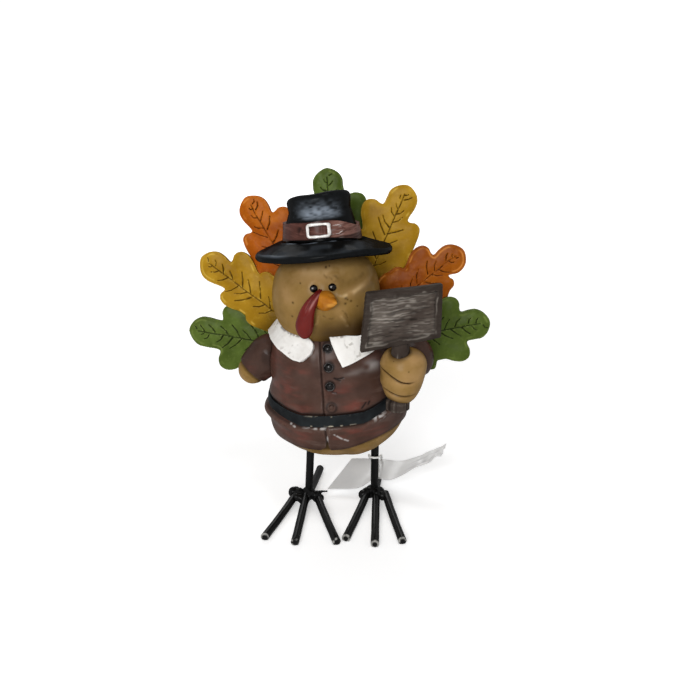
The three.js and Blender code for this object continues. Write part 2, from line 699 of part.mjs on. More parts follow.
add(figure, 'tag', cut(sheet(tagSurface(0), tagSurface(tagWall), 14, 2), loopForm(gap)), 'film');
add(figure, 'tag_loop', loopForm(0), 'white');

export default figure;
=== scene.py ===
from math import atan2, cos, pi, radians, sin
import bmesh
import bpy
import numpy as np
from mathutils import Matrix, Vector


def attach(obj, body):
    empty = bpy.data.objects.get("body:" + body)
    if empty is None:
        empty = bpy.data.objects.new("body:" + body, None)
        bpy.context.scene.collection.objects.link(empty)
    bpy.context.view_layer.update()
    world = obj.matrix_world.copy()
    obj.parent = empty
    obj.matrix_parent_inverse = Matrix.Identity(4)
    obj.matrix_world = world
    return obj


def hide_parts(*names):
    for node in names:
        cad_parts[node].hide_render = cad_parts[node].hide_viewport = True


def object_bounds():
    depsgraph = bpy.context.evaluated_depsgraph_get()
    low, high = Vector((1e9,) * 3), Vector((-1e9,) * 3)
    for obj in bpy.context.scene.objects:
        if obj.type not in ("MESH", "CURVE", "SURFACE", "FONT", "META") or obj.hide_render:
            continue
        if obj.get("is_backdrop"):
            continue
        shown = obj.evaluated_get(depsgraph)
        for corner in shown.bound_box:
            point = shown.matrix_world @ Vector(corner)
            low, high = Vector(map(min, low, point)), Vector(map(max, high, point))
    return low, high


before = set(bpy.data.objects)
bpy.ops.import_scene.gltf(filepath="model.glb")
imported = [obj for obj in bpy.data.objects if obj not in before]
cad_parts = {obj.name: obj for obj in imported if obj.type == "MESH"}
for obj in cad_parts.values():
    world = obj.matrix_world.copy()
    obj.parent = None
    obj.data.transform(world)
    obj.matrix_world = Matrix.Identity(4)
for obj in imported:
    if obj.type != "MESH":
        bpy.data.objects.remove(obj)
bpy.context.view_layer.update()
scene = bpy.context.scene
scene.view_settings.view_transform = "Standard"
print("frame loaded", len(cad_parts), "nodes")

# Pieces are modelled in millimetres in the casting's own frame, then put in place in metres
stance = {"lean": 4.5, "axis": (3.3, 2.6), "pivot": 45}
upright = Matrix.Scale(0.001, 4)
leaning = (upright @ Matrix.Translation((*stance["axis"], stance["pivot"]))
           @ Matrix.Rotation(radians(-stance["lean"]), 4, "Y")
           @ Matrix.Translation((0, 0, -stance["pivot"])))

# Camera, at the photograph's angle, for a square picture
shot = {"azimuth": 5, "elevation": 19.5, "distance": 0.45, "aim": (0.008, 0.0026, 0.067), "lens": 57.857}
swing, climb = radians(shot["azimuth"]), radians(shot["elevation"])
away = Vector((sin(swing) * cos(climb), -cos(swing) * cos(climb), sin(climb)))
bpy.ops.object.camera_add(location=Vector(shot["aim"]) + away * shot["distance"])
camera = bpy.context.active_object
camera.rotation_euler = away.to_track_quat("Z", "Y").to_euler()
camera.data.sensor_width = 36
camera.data.lens = shot["lens"]
camera.data.clip_start = 0.01
scene.camera = camera


# Handling of pieces and their points
def pick(*chosen):
    if bpy.context.mode != "OBJECT":
        bpy.ops.object.mode_set(mode="OBJECT")
    bpy.ops.object.select_all(action="DESELECT")
    for piece in chosen:
        piece.select_set(True)
    if chosen:
        bpy.context.view_layer.objects.active = chosen[0]


def start(name, shape, **sizes):
    pick()
    getattr(bpy.ops.mesh, f"primitive_{shape}_add")(**sizes)
    piece = bpy.context.active_object
    piece.name = piece.data.name = name
    return piece


def applied(piece, kind, **settings):
    pick(piece)
    modifier = piece.modifiers.new(kind.lower(), kind)
    for key, value in settings.items():
        setattr(modifier, key, value)
    bpy.ops.object.modifier_apply(modifier=modifier.name)
    return piece


def bevelled(piece, width, segments, angle):
    return applied(piece, "BEVEL", width=width, segments=segments, limit_method="ANGLE",
                   angle_limit=radians(angle))


def softened(piece, passes):
    return applied(piece, "SMOOTH", factor=0.5, iterations=passes)


def editFaces(piece, test=lambda normal: True):  # goes into edit mode with the faces that pass selected
    pick(piece)
    bpy.ops.object.mode_set(mode="EDIT")
    bpy.ops.mesh.select_mode(type="FACE")
    bpy.ops.mesh.select_all(action="DESELECT")
    shape = bmesh.from_edit_mesh(piece.data)
    for face in shape.faces:
        face.select_set(test(face.normal))
    bmesh.update_edit_mesh(piece.data)


def merged(piece):  # closes seams and poles, and turns every face outwards
    editFaces(piece)
    bpy.ops.mesh.remove_doubles(threshold=0.0005)
    bpy.ops.mesh.normals_make_consistent(inside=False)
    pick(piece)
    return piece


def vectorsOf(piece, name):
    found = np.empty(len(piece.data.vertices) * 3, np.float32)
    piece.data.vertices.foreach_get(name, found)
    return found.reshape(-1, 3).astype(float)


def points(piece):
    return vectorsOf(piece, "co")


def outward(piece):
    return vectorsOf(piece, "normal")


def setPoints(piece, co):
    piece.data.vertices.foreach_set("co", np.asarray(co, np.float32).ravel())
    piece.data.update()
    return piece


def swell(piece, amount):  # moves each point along its normal, in millimetres
    return setPoints(piece, points(piece) + outward(piece) * np.asarray(amount)[:, None])


def setValue(piece, name, values):
    layer = piece.data.attributes.get(name) or piece.data.attributes.new(name, "FLOAT", "POINT")
    layer.data.foreach_set("value", np.clip(values, -1, 1).astype(np.float32))


def relaxed(piece, co, rounds):  # each point drifts to the middle of its neighbours
    pairs = np.empty(len(piece.data.edges) * 2, np.int32)
    piece.data.edges.foreach_get("vertices", pairs)
    a, b = pairs.reshape(-1, 2).T
    count = np.maximum(np.bincount(a, minlength=len(co)) + np.bincount(b, minlength=len(co)), 1)
    for _ in range(rounds):
        total = [np.bincount(a, co[b, k], len(co)) + np.bincount(b, co[a, k], len(co)) for k in range(3)]
        co = co + 0.5 * (np.stack(total, 1) / count[:, None] - co)
    return co


def noiseAt(co, size, seed):  # smooth lumps from -1 to 1, about `size` millimetres apart
    grid = np.asarray(co) / size + seed * 13.7
    cell = np.floor(grid)
    part = grid - cell
    ease = part * part * (3 - 2 * part)
    total = np.zeros(len(grid))
    for corner in np.ndindex(2, 2, 2):
        key = (cell.astype(np.int64) + corner) @ np.array([73856093, 19349663, 83492791])
        key = ((key ^ (key >> 13)) * 1274126177) & 0x7fffffff
        key = (key ^ (key >> 15)) & 65535
        total += np.prod(np.where(corner, ease, 1 - ease), axis=1) * (key / 32767.5 - 1)
    return total


def fade(value, low, high):  # 0 at low, 1 at high, eased
    t = np.clip((np.asarray(value, float) - low) / (high - low), 0, 1)
    return t * t * (3 - 2 * t)


def peak(value, at, wide, power=2):  # 1 at a place, falling softly on both sides of it
    return np.exp(-((value - at) / wide) ** power)


def patchy(co, size, seed, low, high):  # noise cut to patches, 0 below low and 1 above high
    return fade(noiseAt(co, size, seed), low, high)


def lineDistance(flat, a, b):  # distance of flat points from a line between two points
    a, b = np.array(a, float), np.array(b, float)
    t = np.clip((flat - a) @ (b - a) / max((b - a) @ (b - a), 1e-9), 0, 1)
    return np.linalg.norm(flat - a - t[:, None] * (b - a), axis=1)


def pathDistance(flat, path):
    return np.min([lineDistance(flat, a, b) for a, b in zip(path[:-1], path[1:])], axis=0)


def stroke(flat, path, wide):  # a drawn line with soft sides
    return peak(pathDistance(flat, path), 0, wide)


def strokes(flat, paths, wide):
    return np.max([stroke(flat, path, wide) for path in paths], axis=0)


def dab(flat, x, z, size):  # a soft round or oval spot
    return np.exp(-(((flat - (x, z)) / np.asarray(size, float)) ** 2).sum(1))


def dabs(flat, spots):
    return np.max([dab(flat, *spot) for spot in spots], axis=0)


def curveThrough(knots, closed=False, count=160):  # a centripetal curve through the knots, cut into points
    knots = np.array(knots, float)
    if closed:
        ring = np.vstack([knots[-1], knots, knots[0], knots[1]])
    else:
        ring = np.vstack([2 * knots[0] - knots[1], knots, 2 * knots[-1] - knots[-2]])
    spans = len(ring) - 3
    found = []
    for at in np.linspace(0, spans, count, endpoint=not closed):
        i = min(int(at), spans - 1)
        w = at - i
        p0, p1, p2, p3 = ring[i:i + 4]
        d0, d1, d2 = [max(np.linalg.norm(q - p), 1e-6) ** 0.5 for p, q in ((p0, p1), (p1, p2), (p2, p3))]
        m1 = ((p1 - p0) / d0 - (p2 - p0) / (d0 + d1) + (p2 - p1) / d1) * d1
        m2 = ((p2 - p1) / d1 - (p3 - p1) / (d1 + d2) + (p3 - p2) / d2) * d1
        bend = (3 * (p2 - p1) - 2 * m1 - m2) * w ** 2 + (2 * (p1 - p2) + m1 + m2) * w ** 3
        found.append(p1 + m1 * w + bend)
    return np.array(found)


def evenly(line, step):  # the same line with points no further apart than the step, corners kept
    found = [line[0]]
    for a, b in zip(line[:-1], line[1:]):
        n = max(int(np.ceil(np.linalg.norm(np.subtract(b, a)) / step)), 1)
        found += [tuple(np.add(a, np.multiply(np.subtract(b, a), k / n))) for k in range(1, n + 1)]
    return found


def turnedForm(name, profile, steps, step):  # Screw turns a drawn profile about Z
    line = evenly(profile, step)
    mesh = bpy.data.meshes.new(name)
    mesh.from_pydata([(r, 0, z) for r, z in line], [(i, i + 1) for i in range(len(line) - 1)], [])
    piece = bpy.data.objects.new(name, mesh)
    scene.collection.objects.link(piece)
    applied(piece, "SCREW", steps=steps, render_steps=steps, use_merge_vertices=True, merge_threshold=0.0005)
    return merged(piece)


def sheetForm(name, shape, surface):  # a grid laid on a surface of u and v, with a wall and broken edges
    piece = start(name, "grid", x_subdivisions=shape["columns"], y_subdivisions=shape["rows"], size=2)
    flat = (points(piece)[:, :2] + 1) / 2
    merged(setPoints(piece, surface(*flat.T)))
    applied(piece, "SOLIDIFY", thickness=shape["wall"], offset=-1, use_even_offset=False)
    return bevelled(piece, shape["edge"], 3, 50) if "edge" in shape else piece


def roundForm(name, radii, power, lowPower, segments, rings, crowd=0.0):  # squarer as the powers grow
    piece = start(name, "uv_sphere", segments=segments, ring_count=rings, radius=1)
    co = points(piece)
    x, y, z = co.T
    turn = np.arctan2(x, -y)
    turn -= crowd * np.sin(turn)  # closer columns at the front
    wide = np.hypot(x, y)
    co[:, 0], co[:, 1] = wide * np.sin(turn), -wide * np.cos(turn)
    p = np.where(z < 0, lowPower, power)
    co /= ((np.abs(z) ** p + wide ** p) ** (1 / p))[:, None]
    return setPoints(piece, co * np.array(radii))


def seat(position, x=0, y=0, z=0):
    turn = Matrix.Rotation(radians(z), 4, "Z") @ Matrix.Rotation(radians(y), 4, "Y")
    return Matrix.Translation(position) @ turn @ Matrix.Rotation(radians(x), 4, "X")


def standing(low, high):  # turns a form that stands on Z so that it runs from one point to the other
    return Matrix.Translation(low) @ (high - low).to_track_quat("Z", "Y").to_matrix().to_4x4()


def put(piece, place):  # the place goes into the mesh
    piece.data.transform(place)
    piece.data.update()
    return piece


def bent(piece, path):  # a form that stands on Z is laid along a path
    path = np.array(path, float)
    run = np.r_[0, np.cumsum(np.linalg.norm(np.diff(path, axis=0), axis=1))]
    along = np.gradient(path, run, axis=0)
    co = points(piece)
    at = np.clip(co[:, 2], 0, run[-1])
    spot, way = [np.stack([np.interp(at, run, line[:, k]) for k in range(3)], 1) for line in (path, along)]
    way /= np.linalg.norm(way, axis=1)[:, None]
    side = np.cross((0.02, 1, 0.03), way)
    side /= np.linalg.norm(side, axis=1)[:, None]
    over = (co[:, 2] - at)[:, None] * way
    return setPoints(piece, spot + over + side * co[:, :1] + np.cross(way, side) * co[:, 1:2])


def pathLength(path):
    return float(np.linalg.norm(np.diff(path, axis=0), axis=1).sum())


def rodProfile(length, radius, edge=0.4):  # a cut rod with its edges just broken
    half = [(0, 0), (radius - edge, 0), (radius, edge)]
    return half + [(r, length - z) for r, z in reversed(half)]


def pillProfile(length, low, high, steps=8):  # a rod with round ends, which can taper
    turn = [pi / 2 * i / steps for i in range(steps)]
    first = [(low * sin(a), low * (1 - cos(a))) for a in turn]
    last = [(high * sin(a), length - high * (1 - cos(a))) for a in reversed(turn)]
    return first + [(low, low), (high, length - high)] + last


def cutAway(piece, *tools):
    for tool in tools:
        applied(piece, "BOOLEAN", operation="DIFFERENCE", object=tool, solver="MANIFOLD")
    return piece


def remove(*tools):
    for tool in tools:
        bpy.data.objects.remove(tool)


def mainBody(piece):  # a cut can leave slivers behind, and only the largest body stays
    pick(piece)
    name = piece.name
    bpy.ops.object.mode_set(mode="EDIT")
    bpy.ops.mesh.select_all(action="SELECT")
    bpy.ops.mesh.separate(type="LOOSE")
    bpy.ops.object.mode_set(mode="OBJECT")
    parts = sorted(bpy.context.selected_objects, key=lambda each: len(each.data.vertices))
    remove(*parts[:-1])
    parts[-1].name = name
    return parts[-1]


def clay(piece, grain, passes):  # one even skin over a joined or cut form, with its edges softened
    return softened(applied(piece, "REMESH", mode="VOXEL", voxel_size=grain), passes)


def copyOf(piece, name):
    twin = bpy.data.objects.new(name, piece.data.copy())
    scene.collection.objects.link(twin)
    return twin


# Finishes a piece: its wash and painted shade, wear and painted highlights, tint and painted light, how far
# each point stands proud, its paint, body and node
def settle(piece, finish, slot, node, place=leaning, body="figure", rounds=14, **marks):
    for name, values in marks.items():
        setValue(piece, name, values)
    pick(piece)
    bpy.ops.object.shade_smooth()
    co = points(piece)
    setValue(piece, "relief", np.sum((co - relaxed(piece, co, rounds)) * outward(piece), axis=1))
    piece.matrix_world = place
    bpy.ops.object.transform_apply(location=True, rotation=True, scale=True)
    piece.data.materials.clear()
    piece.data.materials.append(finish)
    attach(piece, body)
    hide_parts(node)
    print("made", piece.name, len(piece.data.polygons), "faces")


# Paint and lacquer
def hexToLinear(code):
    parts = [int(code[i:i + 2], 16) / 255 for i in (1, 3, 5)]
    return (*[c / 12.92 if c <= 0.04045 else ((c + 0.055) / 1.055) ** 2.4 for c in parts], 1)


def perMetre(millimetres):
    return 1000 / millimetres


def addNode(tree, kind, links=None, **settings):
    node = tree.nodes.new("ShaderNode" + kind)
    for key, value in settings.items():
        setattr(node, key, value)
    for key, value in (links or {}).items():
        if isinstance(value, bpy.types.NodeSocket):
            tree.links.new(value, node.inputs[key])
        else:
            node.inputs[key].default_value = value
    return node


# Hand paint under lacquer: two tones in blotches, a second colour laid in patches along with painted light,
# brushed streaks, edges rubbed pale, a dark wash in the lows and painted shade, chips and scratches and
# painted highlights
def lacquer(name, base, shade, wash, rub, tint=None, wornAndHighlight=None, tone=7, streak=None, streakSize=(5, 5, 5),
            cover=0.52, rough=(0.28, 0.42), coat=0.16, coatRough=0.25, metal=0.0, grit=0.04, gritSize=0.9,
            washFull=0.16, rubFull=0.25, rubShare=0.5):
    finish = bpy.data.materials.new(name)
    finish.use_nodes = True
    tree = finish.node_tree
    shader = tree.nodes["Principled BSDF"].inputs
    where = addNode(tree, "TexCoord").outputs["Object"]
    scale = tuple(perMetre(each) for each in streakSize)
    laid = addNode(tree, "Mapping", {"Vector": where, "Scale": scale}).outputs[0]
    relief, washAndShadeMark, wear, second = [addNode(tree, "Attribute", attribute_name=each).outputs["Fac"]
                                   for each in ("relief", "wash", "wear", "tint")]
    sizes = ((where, perMetre(tone), 4.0), (where, perMetre(gritSize), 3.0), (laid, 1.0, 3.0))
    blotch, fine, brush = [
        addNode(tree, "TexNoise", {"Vector": at, "Scale": size, "Detail": detail}).outputs[0]
        for at, size, detail in sizes]
    toned = addNode(tree, "MapRange", {"Value": blotch, "From Min": 0.36, "From Max": 0.66}).outputs[0]
    layers = [(toned, shade)]
    if tint:
        broken = addNode(tree, "MapRange", {"Value": brush, "From Min": 0.3, "From Max": 0.62}).outputs[0]
        share = addNode(tree, "Math", {0: second, 1: broken}, operation="MULTIPLY").outputs[0]
        layers.append((share, tint))
    if streak:
        drawn = {"Value": brush, "From Min": cover, "From Max": cover + 0.16}
        drawn = addNode(tree, "MapRange", drawn).outputs[0]
        patch = addNode(tree, "MapRange", {"Value": blotch, "From Min": 0.3, "From Max": 0.6}).outputs[0]
        share = addNode(tree, "Math", {0: drawn, 1: patch}, operation="MULTIPLY").outputs[0]
        layers.append((share, streak))
    raised = {"Value": relief, "From Min": 0.03, "From Max": rubFull, "To Max": rubShare}
    raised = addNode(tree, "MapRange", raised).outputs[0]
    bare = addNode(tree, "MapRange", {"Value": fine, "From Min": 0.35, "From Max": 0.6}).outputs[0]
    rubbed = addNode(tree, "Math", {0: raised, 1: bare}, operation="MULTIPLY").outputs[0]
    sunk = addNode(tree, "MapRange", {"Value": relief, "From Min": -0.02, "From Max": -washFull}).outputs[0]
    # the wash attribute also holds painted shade, the wear attribute painted highlights and sheen, the tint
    # attribute painted light
    washedAndShaded = addNode(tree, "Math", {0: sunk, 1: washAndShadeMark}, operation="MAXIMUM").outputs[0]
    layers += [(rubbed, rub), (washedAndShaded, wash), (wear, wornAndHighlight or rub)]
    colour = hexToLinear(base)
    for share, code in layers:
        pair = {0: share, 6: colour, 7: hexToLinear(code)}
        colour = addNode(tree, "Mix", pair, data_type="RGBA").outputs[2]
    dull = {"Value": fine, "From Min": 0.3, "From Max": 0.7, "To Min": rough[0], "To Max": rough[1]}
    lift = addNode(tree, "Math", {0: fine, 1: brush}, operation="ADD").outputs[0]
    bump = addNode(tree, "Bump", {"Height": lift, "Distance": grit / 1000, "Strength": 0.7})
    tree.links.new(colour, shader["Base Color"])
    tree.links.new(addNode(tree, "MapRange", dull).outputs[0], shader["Roughness"])
    tree.links.new(bump.outputs[0], shader["Normal"])
    shader["Coat Weight"].default_value = coat
    shader["Coat Roughness"].default_value = coatRough
    shader["Specular IOR Level"].default_value = 0
    shader["Metallic"].default_value = metal
    return finish


# Tan paint on cast resin: warm skin with pinker touches, a brown wash in the creases and a soft shine
# its paler tint also paints light on the forehead and cheeks, its wash colour paints shade under the chin,
# brim and hem, and its pale worn colour a highlight on the cheek ridge
tanPaint = lacquer("tan_painted_resin", "#947542", "#806332", "#33220f", "#b08f5e", tint="#a58355",
                   wornAndHighlight="#d2b586", tone=10, streakSize=(9, 9, 6), grit=0.02, coat=0.13)
# Brown paint on cast resin: red-brown brushed in patches over a darker coat, with chalky chips
# its chalky worn colour also paints a sheen on the chest, and its wash colour paints shade at the belt,
# round the buttons and beside the fist
brownPaint = lacquer("brown_painted_resin", "#523d35", "#443028", "#1a1210", "#6d5b52", tint="#6c3d34",
                     wornAndHighlight="#dcd9d6", streak="#5c4941", streakSize=(9, 9, 2.4), cover=0.58, tone=8)
# Hat band brown: redder, with a few white drags of a nearly dry brush
bandPaint = lacquer("russet_painted_resin", "#583730", "#4a2c26", "#140b0a", "#84625a", tint="#8d675c",
                    wornAndHighlight="#e9e2dd", streak="#69453d", streakSize=(8, 8, 0.9), tone=5)
# Black lacquer on resin: deep black, with a blue-grey sheen and highlights painted along the felt
blackPaint = lacquer("black_lacquered_resin", "#121314", "#0c0d0d", "#040404", "#23272b", wornAndHighlight="#8b95a1",
                     streakSize=(9, 9, 0.7), tone=12, coat=0.06, coatRough=0.2, rubShare=0.3)
# Charcoal paint of the belt: flat blue-black with cream scratches on its edges
beltPaint = lacquer("charcoal_painted_resin", "#25292b", "#1b1d1f", "#080809", "#43484a", wornAndHighlight="#cfc4ae",
                    tone=6, rubFull=0.22, coat=0.06)
# White paint on resin: bright, scuffed grey at its edges where the brown shows through
whitePaint = lacquer("white_painted_resin", "#f5f3ef", "#ece9e4", "#5c5046", "#faf9f7", wornAndHighlight="#8f867d",
                     tone=5, coat=0.3, washFull=0.34, streakSize=(6, 6, 1))
# Gunmetal paint on the buttons: near black and shiny, with a pale rim
metalPaint = lacquer("gunmetal_painted_resin", "#120d0b", "#0c0908", "#050404", "#6e6661", wornAndHighlight="#e6e3e0",
                     tone=2, coat=0.34, coatRough=0.1, rubFull=0.12, rubShare=0.25, grit=0.01)
# Silver-white paint on the buckle: thick, uneven and bright
silverPaint = lacquer("silver_painted_resin", "#f1eeea", "#dcd7d1", "#4d4440", "#fbfaf8", tone=1.6,
                      metal=0.1, rough=(0.2, 0.35), washFull=0.34, coat=0.5)
# Orange paint on the beak: warm, with a brown wash at its root
beakPaint = lacquer("orange_painted_resin", "#b8741f", "#a5641a", "#4f2d10", "#d99b45", tint="#cf8f36",
                    tone=4, grit=0.02, coat=0.3, coatRough=0.2)
# Dark red paint on the snood: smooth and glossy, with pale pink highlights painted on
redPaint = lacquer("red_lacquered_resin", "#6d1f1a", "#5e1815", "#250a09", "#7d2f2b", wornAndHighlight="#c48f88", tone=9,
                   coat=0.24, coatRough=0.14, grit=0.008, rubShare=0.3)
# Weathered board in resin: dark brown with pale grain dragged across its ridges by a dry brush
woodPaint = lacquer("weathered_board_resin", "#463d37", "#382f2a", "#15100d", "#6f665e", wornAndHighlight="#aba399",
                    tone=6, coat=0.1, coatRough=0.4, washFull=0.14, rubFull=0.2, gritSize=0.6)
# Leaf paints: one colour each, a brown wash in the scribed veins and bright rubbed rims
# their wash colours also paint shade towards the roots of the leaves
greenPaint = lacquer("green_painted_resin", "#4d5d25", "#404f1c", "#10140a", "#8b9a52", tint="#56682c",
                     tone=9, rubFull=0.2, rubShare=0.6, coat=0.06)
goldPaint = lacquer("gold_painted_resin", "#a87f1e", "#946d15", "#271706", "#dcb950", tint="#b38a27",
                    tone=9, rubFull=0.2, rubShare=0.7, coat=0.06)
orangePaint = lacquer("burnt_orange_painted_resin", "#ab5710", "#94480c", "#2b1204", "#d98b42",
                      tint="#b86516", tone=9, rubFull=0.2, rubShare=0.6, coat=0.06)
# Black enamel on steel wire: thick paint, rubbed through to bright metal at the cut ends
wirePaint = lacquer("black_enamelled_wire", "#141414", "#0e0e0e", "#040404", "#3c3d3e", wornAndHighlight="#b9b7b2",
                    tone=4, rough=(0.26, 0.42), grit=0.08, gritSize=1.4, rubFull=0.4, rubShare=0.25)
# Eyes: one drop of clear lacquer over black paint, with a pale glint painted on
eyePaint = lacquer("black_eye_lacquer", "#0d0807", "#090605", "#020202", "#14100f", wornAndHighlight="#d8d4d0", tone=2,
                   coat=0.3, coatRough=0.08, grit=0.002)
# Polyester label film: pale grey, thin, with a soft satin shine
filmSheet = lacquer("polyester_label_film", "#e4e4e3", "#d6d6d6", "#8d8d90", "#f4f4f4", tone=14, grit=0.02,
                    washFull=0.5, rubFull=0.6, coat=0.5)
# Moulded nylon: milky white, satin
nylonWhite = lacquer("moulded_nylon", "#eeeeec", "#e2e2df", "#8f8f8c", "#fafafa", tone=3, grit=0.01,
                     coat=0.5)
print("paints mixed")


# Head: rounded and a little boxy, with a cheek ridge, a dented temple, frown marks and a few specks of paint
headShape = {
    "centre": (-0.5, -5, 90.3), "radii": (21, 20, 19.8), "power": 2.6, "chin": 2.0,
    "eyes": {"right": -2.45, "left": 4.45}, "eyeHeight": 99.6,
    "ridge": [(5.4, 95.9), (7.8, 95.9), (11.2, 96.5), (13.4, 97.4), (16.4, 99)],
    "temple": [(7, 101.8), (10.5, 101.2), (15, 101.6)],
    "frown": [[(1.9, 104.1), (2.6, 103.2)], [(3.6, 103.2), (5, 103.8), (6.6, 102.9)],
              [(4.4, 102.6), (5.4, 101.7)]],
    "muzzle": [[(0.4, 88.9), (1.6, 88.1), (3.2, 87.6), (4.6, 88.1)],
               [(7.6, 90.4), (8.6, 88.9), (9.2, 87.2)]],
    "folds": [[(7.0, 88.2), (8.0, 86.4), (8.8, 84.2)], [(-1.6, 88.6), (-2.6, 86.2)]],
    "specks": [(8.7, 95.2, 0.5), (9.3, 94.5, 0.28), (8.5, 93.1, 0.42), (10.5, 93.7, 0.36),
               (-10.7, 94.2, 0.4), (-11.6, 88.8, 0.35), (2.2, 106.4, 0.4), (3.4, 106.6, 0.3),
               (12.6, 91.2, 0.3), (-7.6, 101.4, 0.28)],
}


def inHead(spot, grow):  # below 0 inside the head
    x, y, z = ((np.asarray(spot) - headShape["centre"]) / (np.array(headShape["radii"]) + grow)).T
    p = np.where(z < 0, headShape["chin"], headShape["power"])
    return np.abs(z) ** p + np.hypot(x, y) ** p - 1


def faceY(x, z, grow=0.3):
    level = abs(z - headShape["centre"][2]) / (headShape["radii"][2] + grow)
    ring = (1 - level ** headShape["power"]) ** (1 / headShape["power"])
    across = (x - headShape["centre"][0]) / (headShape["radii"][0] + grow)
    return headShape["centre"][1] - (headShape["radii"][1] + grow) * np.sqrt(max(ring ** 2 - across ** 2, 0))


def headForm(name, grow, segments, rings, crowd=0.0):
    radii = np.array(headShape["radii"]) + grow
    piece = roundForm(name, radii, headShape["power"], headShape["chin"], segments, rings, crowd)
    return put(piece, Matrix.Translation(headShape["centre"]))


head = headForm("head_cast", 0, 320, 210, 0.5)
co = points(head)
x, y, z = co.T
face = co[:, [0, 2]]
front = fade(-y, 8, 14)
ridge = stroke(face, headShape["ridge"], 1.9) * fade(x, 5, 8)
temple = stroke(face, headShape["temple"], 2.4) * fade(x, 5, 9)
frown, muzzle = [strokes(face, headShape[each], 0.5) for each in ("frown", "muzzle")]
folds = strokes(face, headShape["folds"], 0.7)
pits = sum(dab(face, each, headShape["eyeHeight"], 1.7) for each in headShape["eyes"].values())
rims = sum(dab(face, each, headShape["eyeHeight"] - 0.5, 2.1) for each in headShape["eyes"].values())
cheeks = 0.7 * dab(face, 10.5, 92.5, (6, 4)) + 0.8 * dab(face, -13, 93, (6, 7))
lift = 0.85 * ridge - 0.8 * temple + cheeks + 0.35 * folds - 0.12 * frown - 0.16 * muzzle - 0.5 * pits
lift += 1.7 * dab(face, 13, 78, (6, 4.5))  # a jowl over the collar
lift -= 0.3 * dab(face, 2, 89.4, (3.4, 1.3))
swell(head, front * lift + 0.2 * noiseAt(co, 8, 1) + 0.03 * noiseAt(co, 1.6, 2))
# painted shade under the chin, on the side towards the sign board, and under the brim
chin = 0.88 * fade(-z, -91, -81) * fade(x, -9, 2) + 0.3 * fade(-z, -80, -73)
chin += 0.36 * fade(x, 8, 18) * fade(-z, -96, -88)
smudge = np.maximum(0.36 * frown * patchy(co, 0.9, 5, -0.6, 0.6),
                    0.5 * muzzle * patchy(co, 1.1, 6, -0.6, 0.3))
smudge = front * np.maximum(smudge, dabs(face, headShape["specks"]))
# painted light on the forehead, one cheek and the cheek ridge, and a painted highlight along the ridge
# crest, brow and folds
browAndCheekLight = dab(face, 0, 104.5, (12, 3.4)) + 0.4 * dab(face, -12.6, 96, (4.5, 5))
crest = stroke(face, headShape["ridge"], 0.7) * fade(x, 6, 8.5) * fade(-x, -16.5, -12)
faceHighlight = 0.7 * crest + 0.25 * dab(face, 0, 105, (9, 1.6)) + 0.12 * folds
settle(head, tanPaint, "tan_resin", "head",
       wash=np.maximum.reduce([chin, 0.12 * fade(z, 106, 108.6), smudge]),
       tint=front * (0.9 * ridge + browAndCheekLight + rims) + 0.4 * patchy(co, 7, 3, 0.1, 0.8),
       wear=front * faceHighlight * patchy(co, 1.6, 4, -0.8, 0.3))

# Eyes: beads of paint, flattened where they sit in the face, each with the glint of a lamp painted on
eyeShape = {"radii": (1.5, 1.15, 1.5), "sunk": 0.25, "glint": (-0.35, 0.4, 0.22)}
for side, at in headShape["eyes"].items():
    eye = roundForm(f"eye_{side}_bead", eyeShape["radii"], 2, 2, 48, 32)
    depth = faceY(at, headShape["eyeHeight"]) + eyeShape["sunk"]
    put(eye, Matrix.Translation((at, depth, headShape["eyeHeight"])))
    flat = points(eye)[:, [0, 2]] - (at, headShape["eyeHeight"])
    settle(eye, eyePaint, "black_resin", f"eye_{side}", wear=dab(flat, *eyeShape["glint"]))

# Beak: a fat cone with a blunt tip, turned a little to one side
beakShape = {"radius": 4, "length": 9.2, "root": 2, "x": 1, "z": 94.9, "droop": -5, "yaw": 38, "power": 1.5}
profile = [(0, -beakShape["root"]), (beakShape["radius"], -beakShape["root"])]
for t in np.linspace(0, 1, 17):
    profile.append((beakShape["radius"] * (1 - t ** beakShape["power"]), beakShape["length"] * t))
beak = softened(turnedForm("beak_cast", profile, 72, 0.28), 14)
co = points(beak)
z = co[:, 2]
swell(beak, 0.2 * noiseAt(co, 2.4, 3) + 0.05 * noiseAt(co, 0.9, 4))
place = (beakShape["x"], faceY(beakShape["x"], beakShape["z"]) + 1, beakShape["z"])
put(beak, seat(place, 90 + beakShape["droop"], 0, beakShape["yaw"]))
settle(beak, beakPaint, "orange_resin", "beak",
       wash=0.75 * fade(-z, -1.4, 0.8) + 0.3 * patchy(co, 1.8, 9, 0.3, 0.9),
       tint=fade(z, 3, 6) * patchy(co, 2, 8, -0.3, 0.6))

# Snood: a flattened teardrop that hangs beside the beak
snoodShape = {"flat": 0.8, "round": 0.74, "x": 1, "z": 99.6,
              "widths": [(0, 0.7), (0.1, 1.05), (0.25, 1.85), (0.5, 2.75), (0.72, 3.4)],
              "path": [(-0.6, 0.8, -0.4), (-2.6, -2.8, -2.4), (-5.4, -3.8, -6.4), (-7.4, -3.6, -12),
                       (-8.1, -3, -18.3)]}
root = (snoodShape["x"], faceY(snoodShape["x"], snoodShape["z"]), snoodShape["z"])
path = curveThrough(np.array(snoodShape["path"]) + root)
long = pathLength(path)
fat = snoodShape["widths"][-1][1]
profile = [(0, 0)] + [(r, max(t, 0.02) * long) for t, r in snoodShape["widths"]]
for a in np.linspace(0, pi / 2, 14)[1:]:
    profile.append((fat * cos(a), long * (snoodShape["round"] + (1 - snoodShape["round"]) * sin(a))))
profile[-1] = (0, long)
snood = softened(turnedForm("snood_cast", profile, 64, 0.26), 12)
co = points(snood)
co[:, 1] *= snoodShape["flat"]
x, y, z = co.T
down = z / long
furrow = peak(x, 0.5, 0.4) * fade(-down, -0.6, -0.35) * (y < 0)
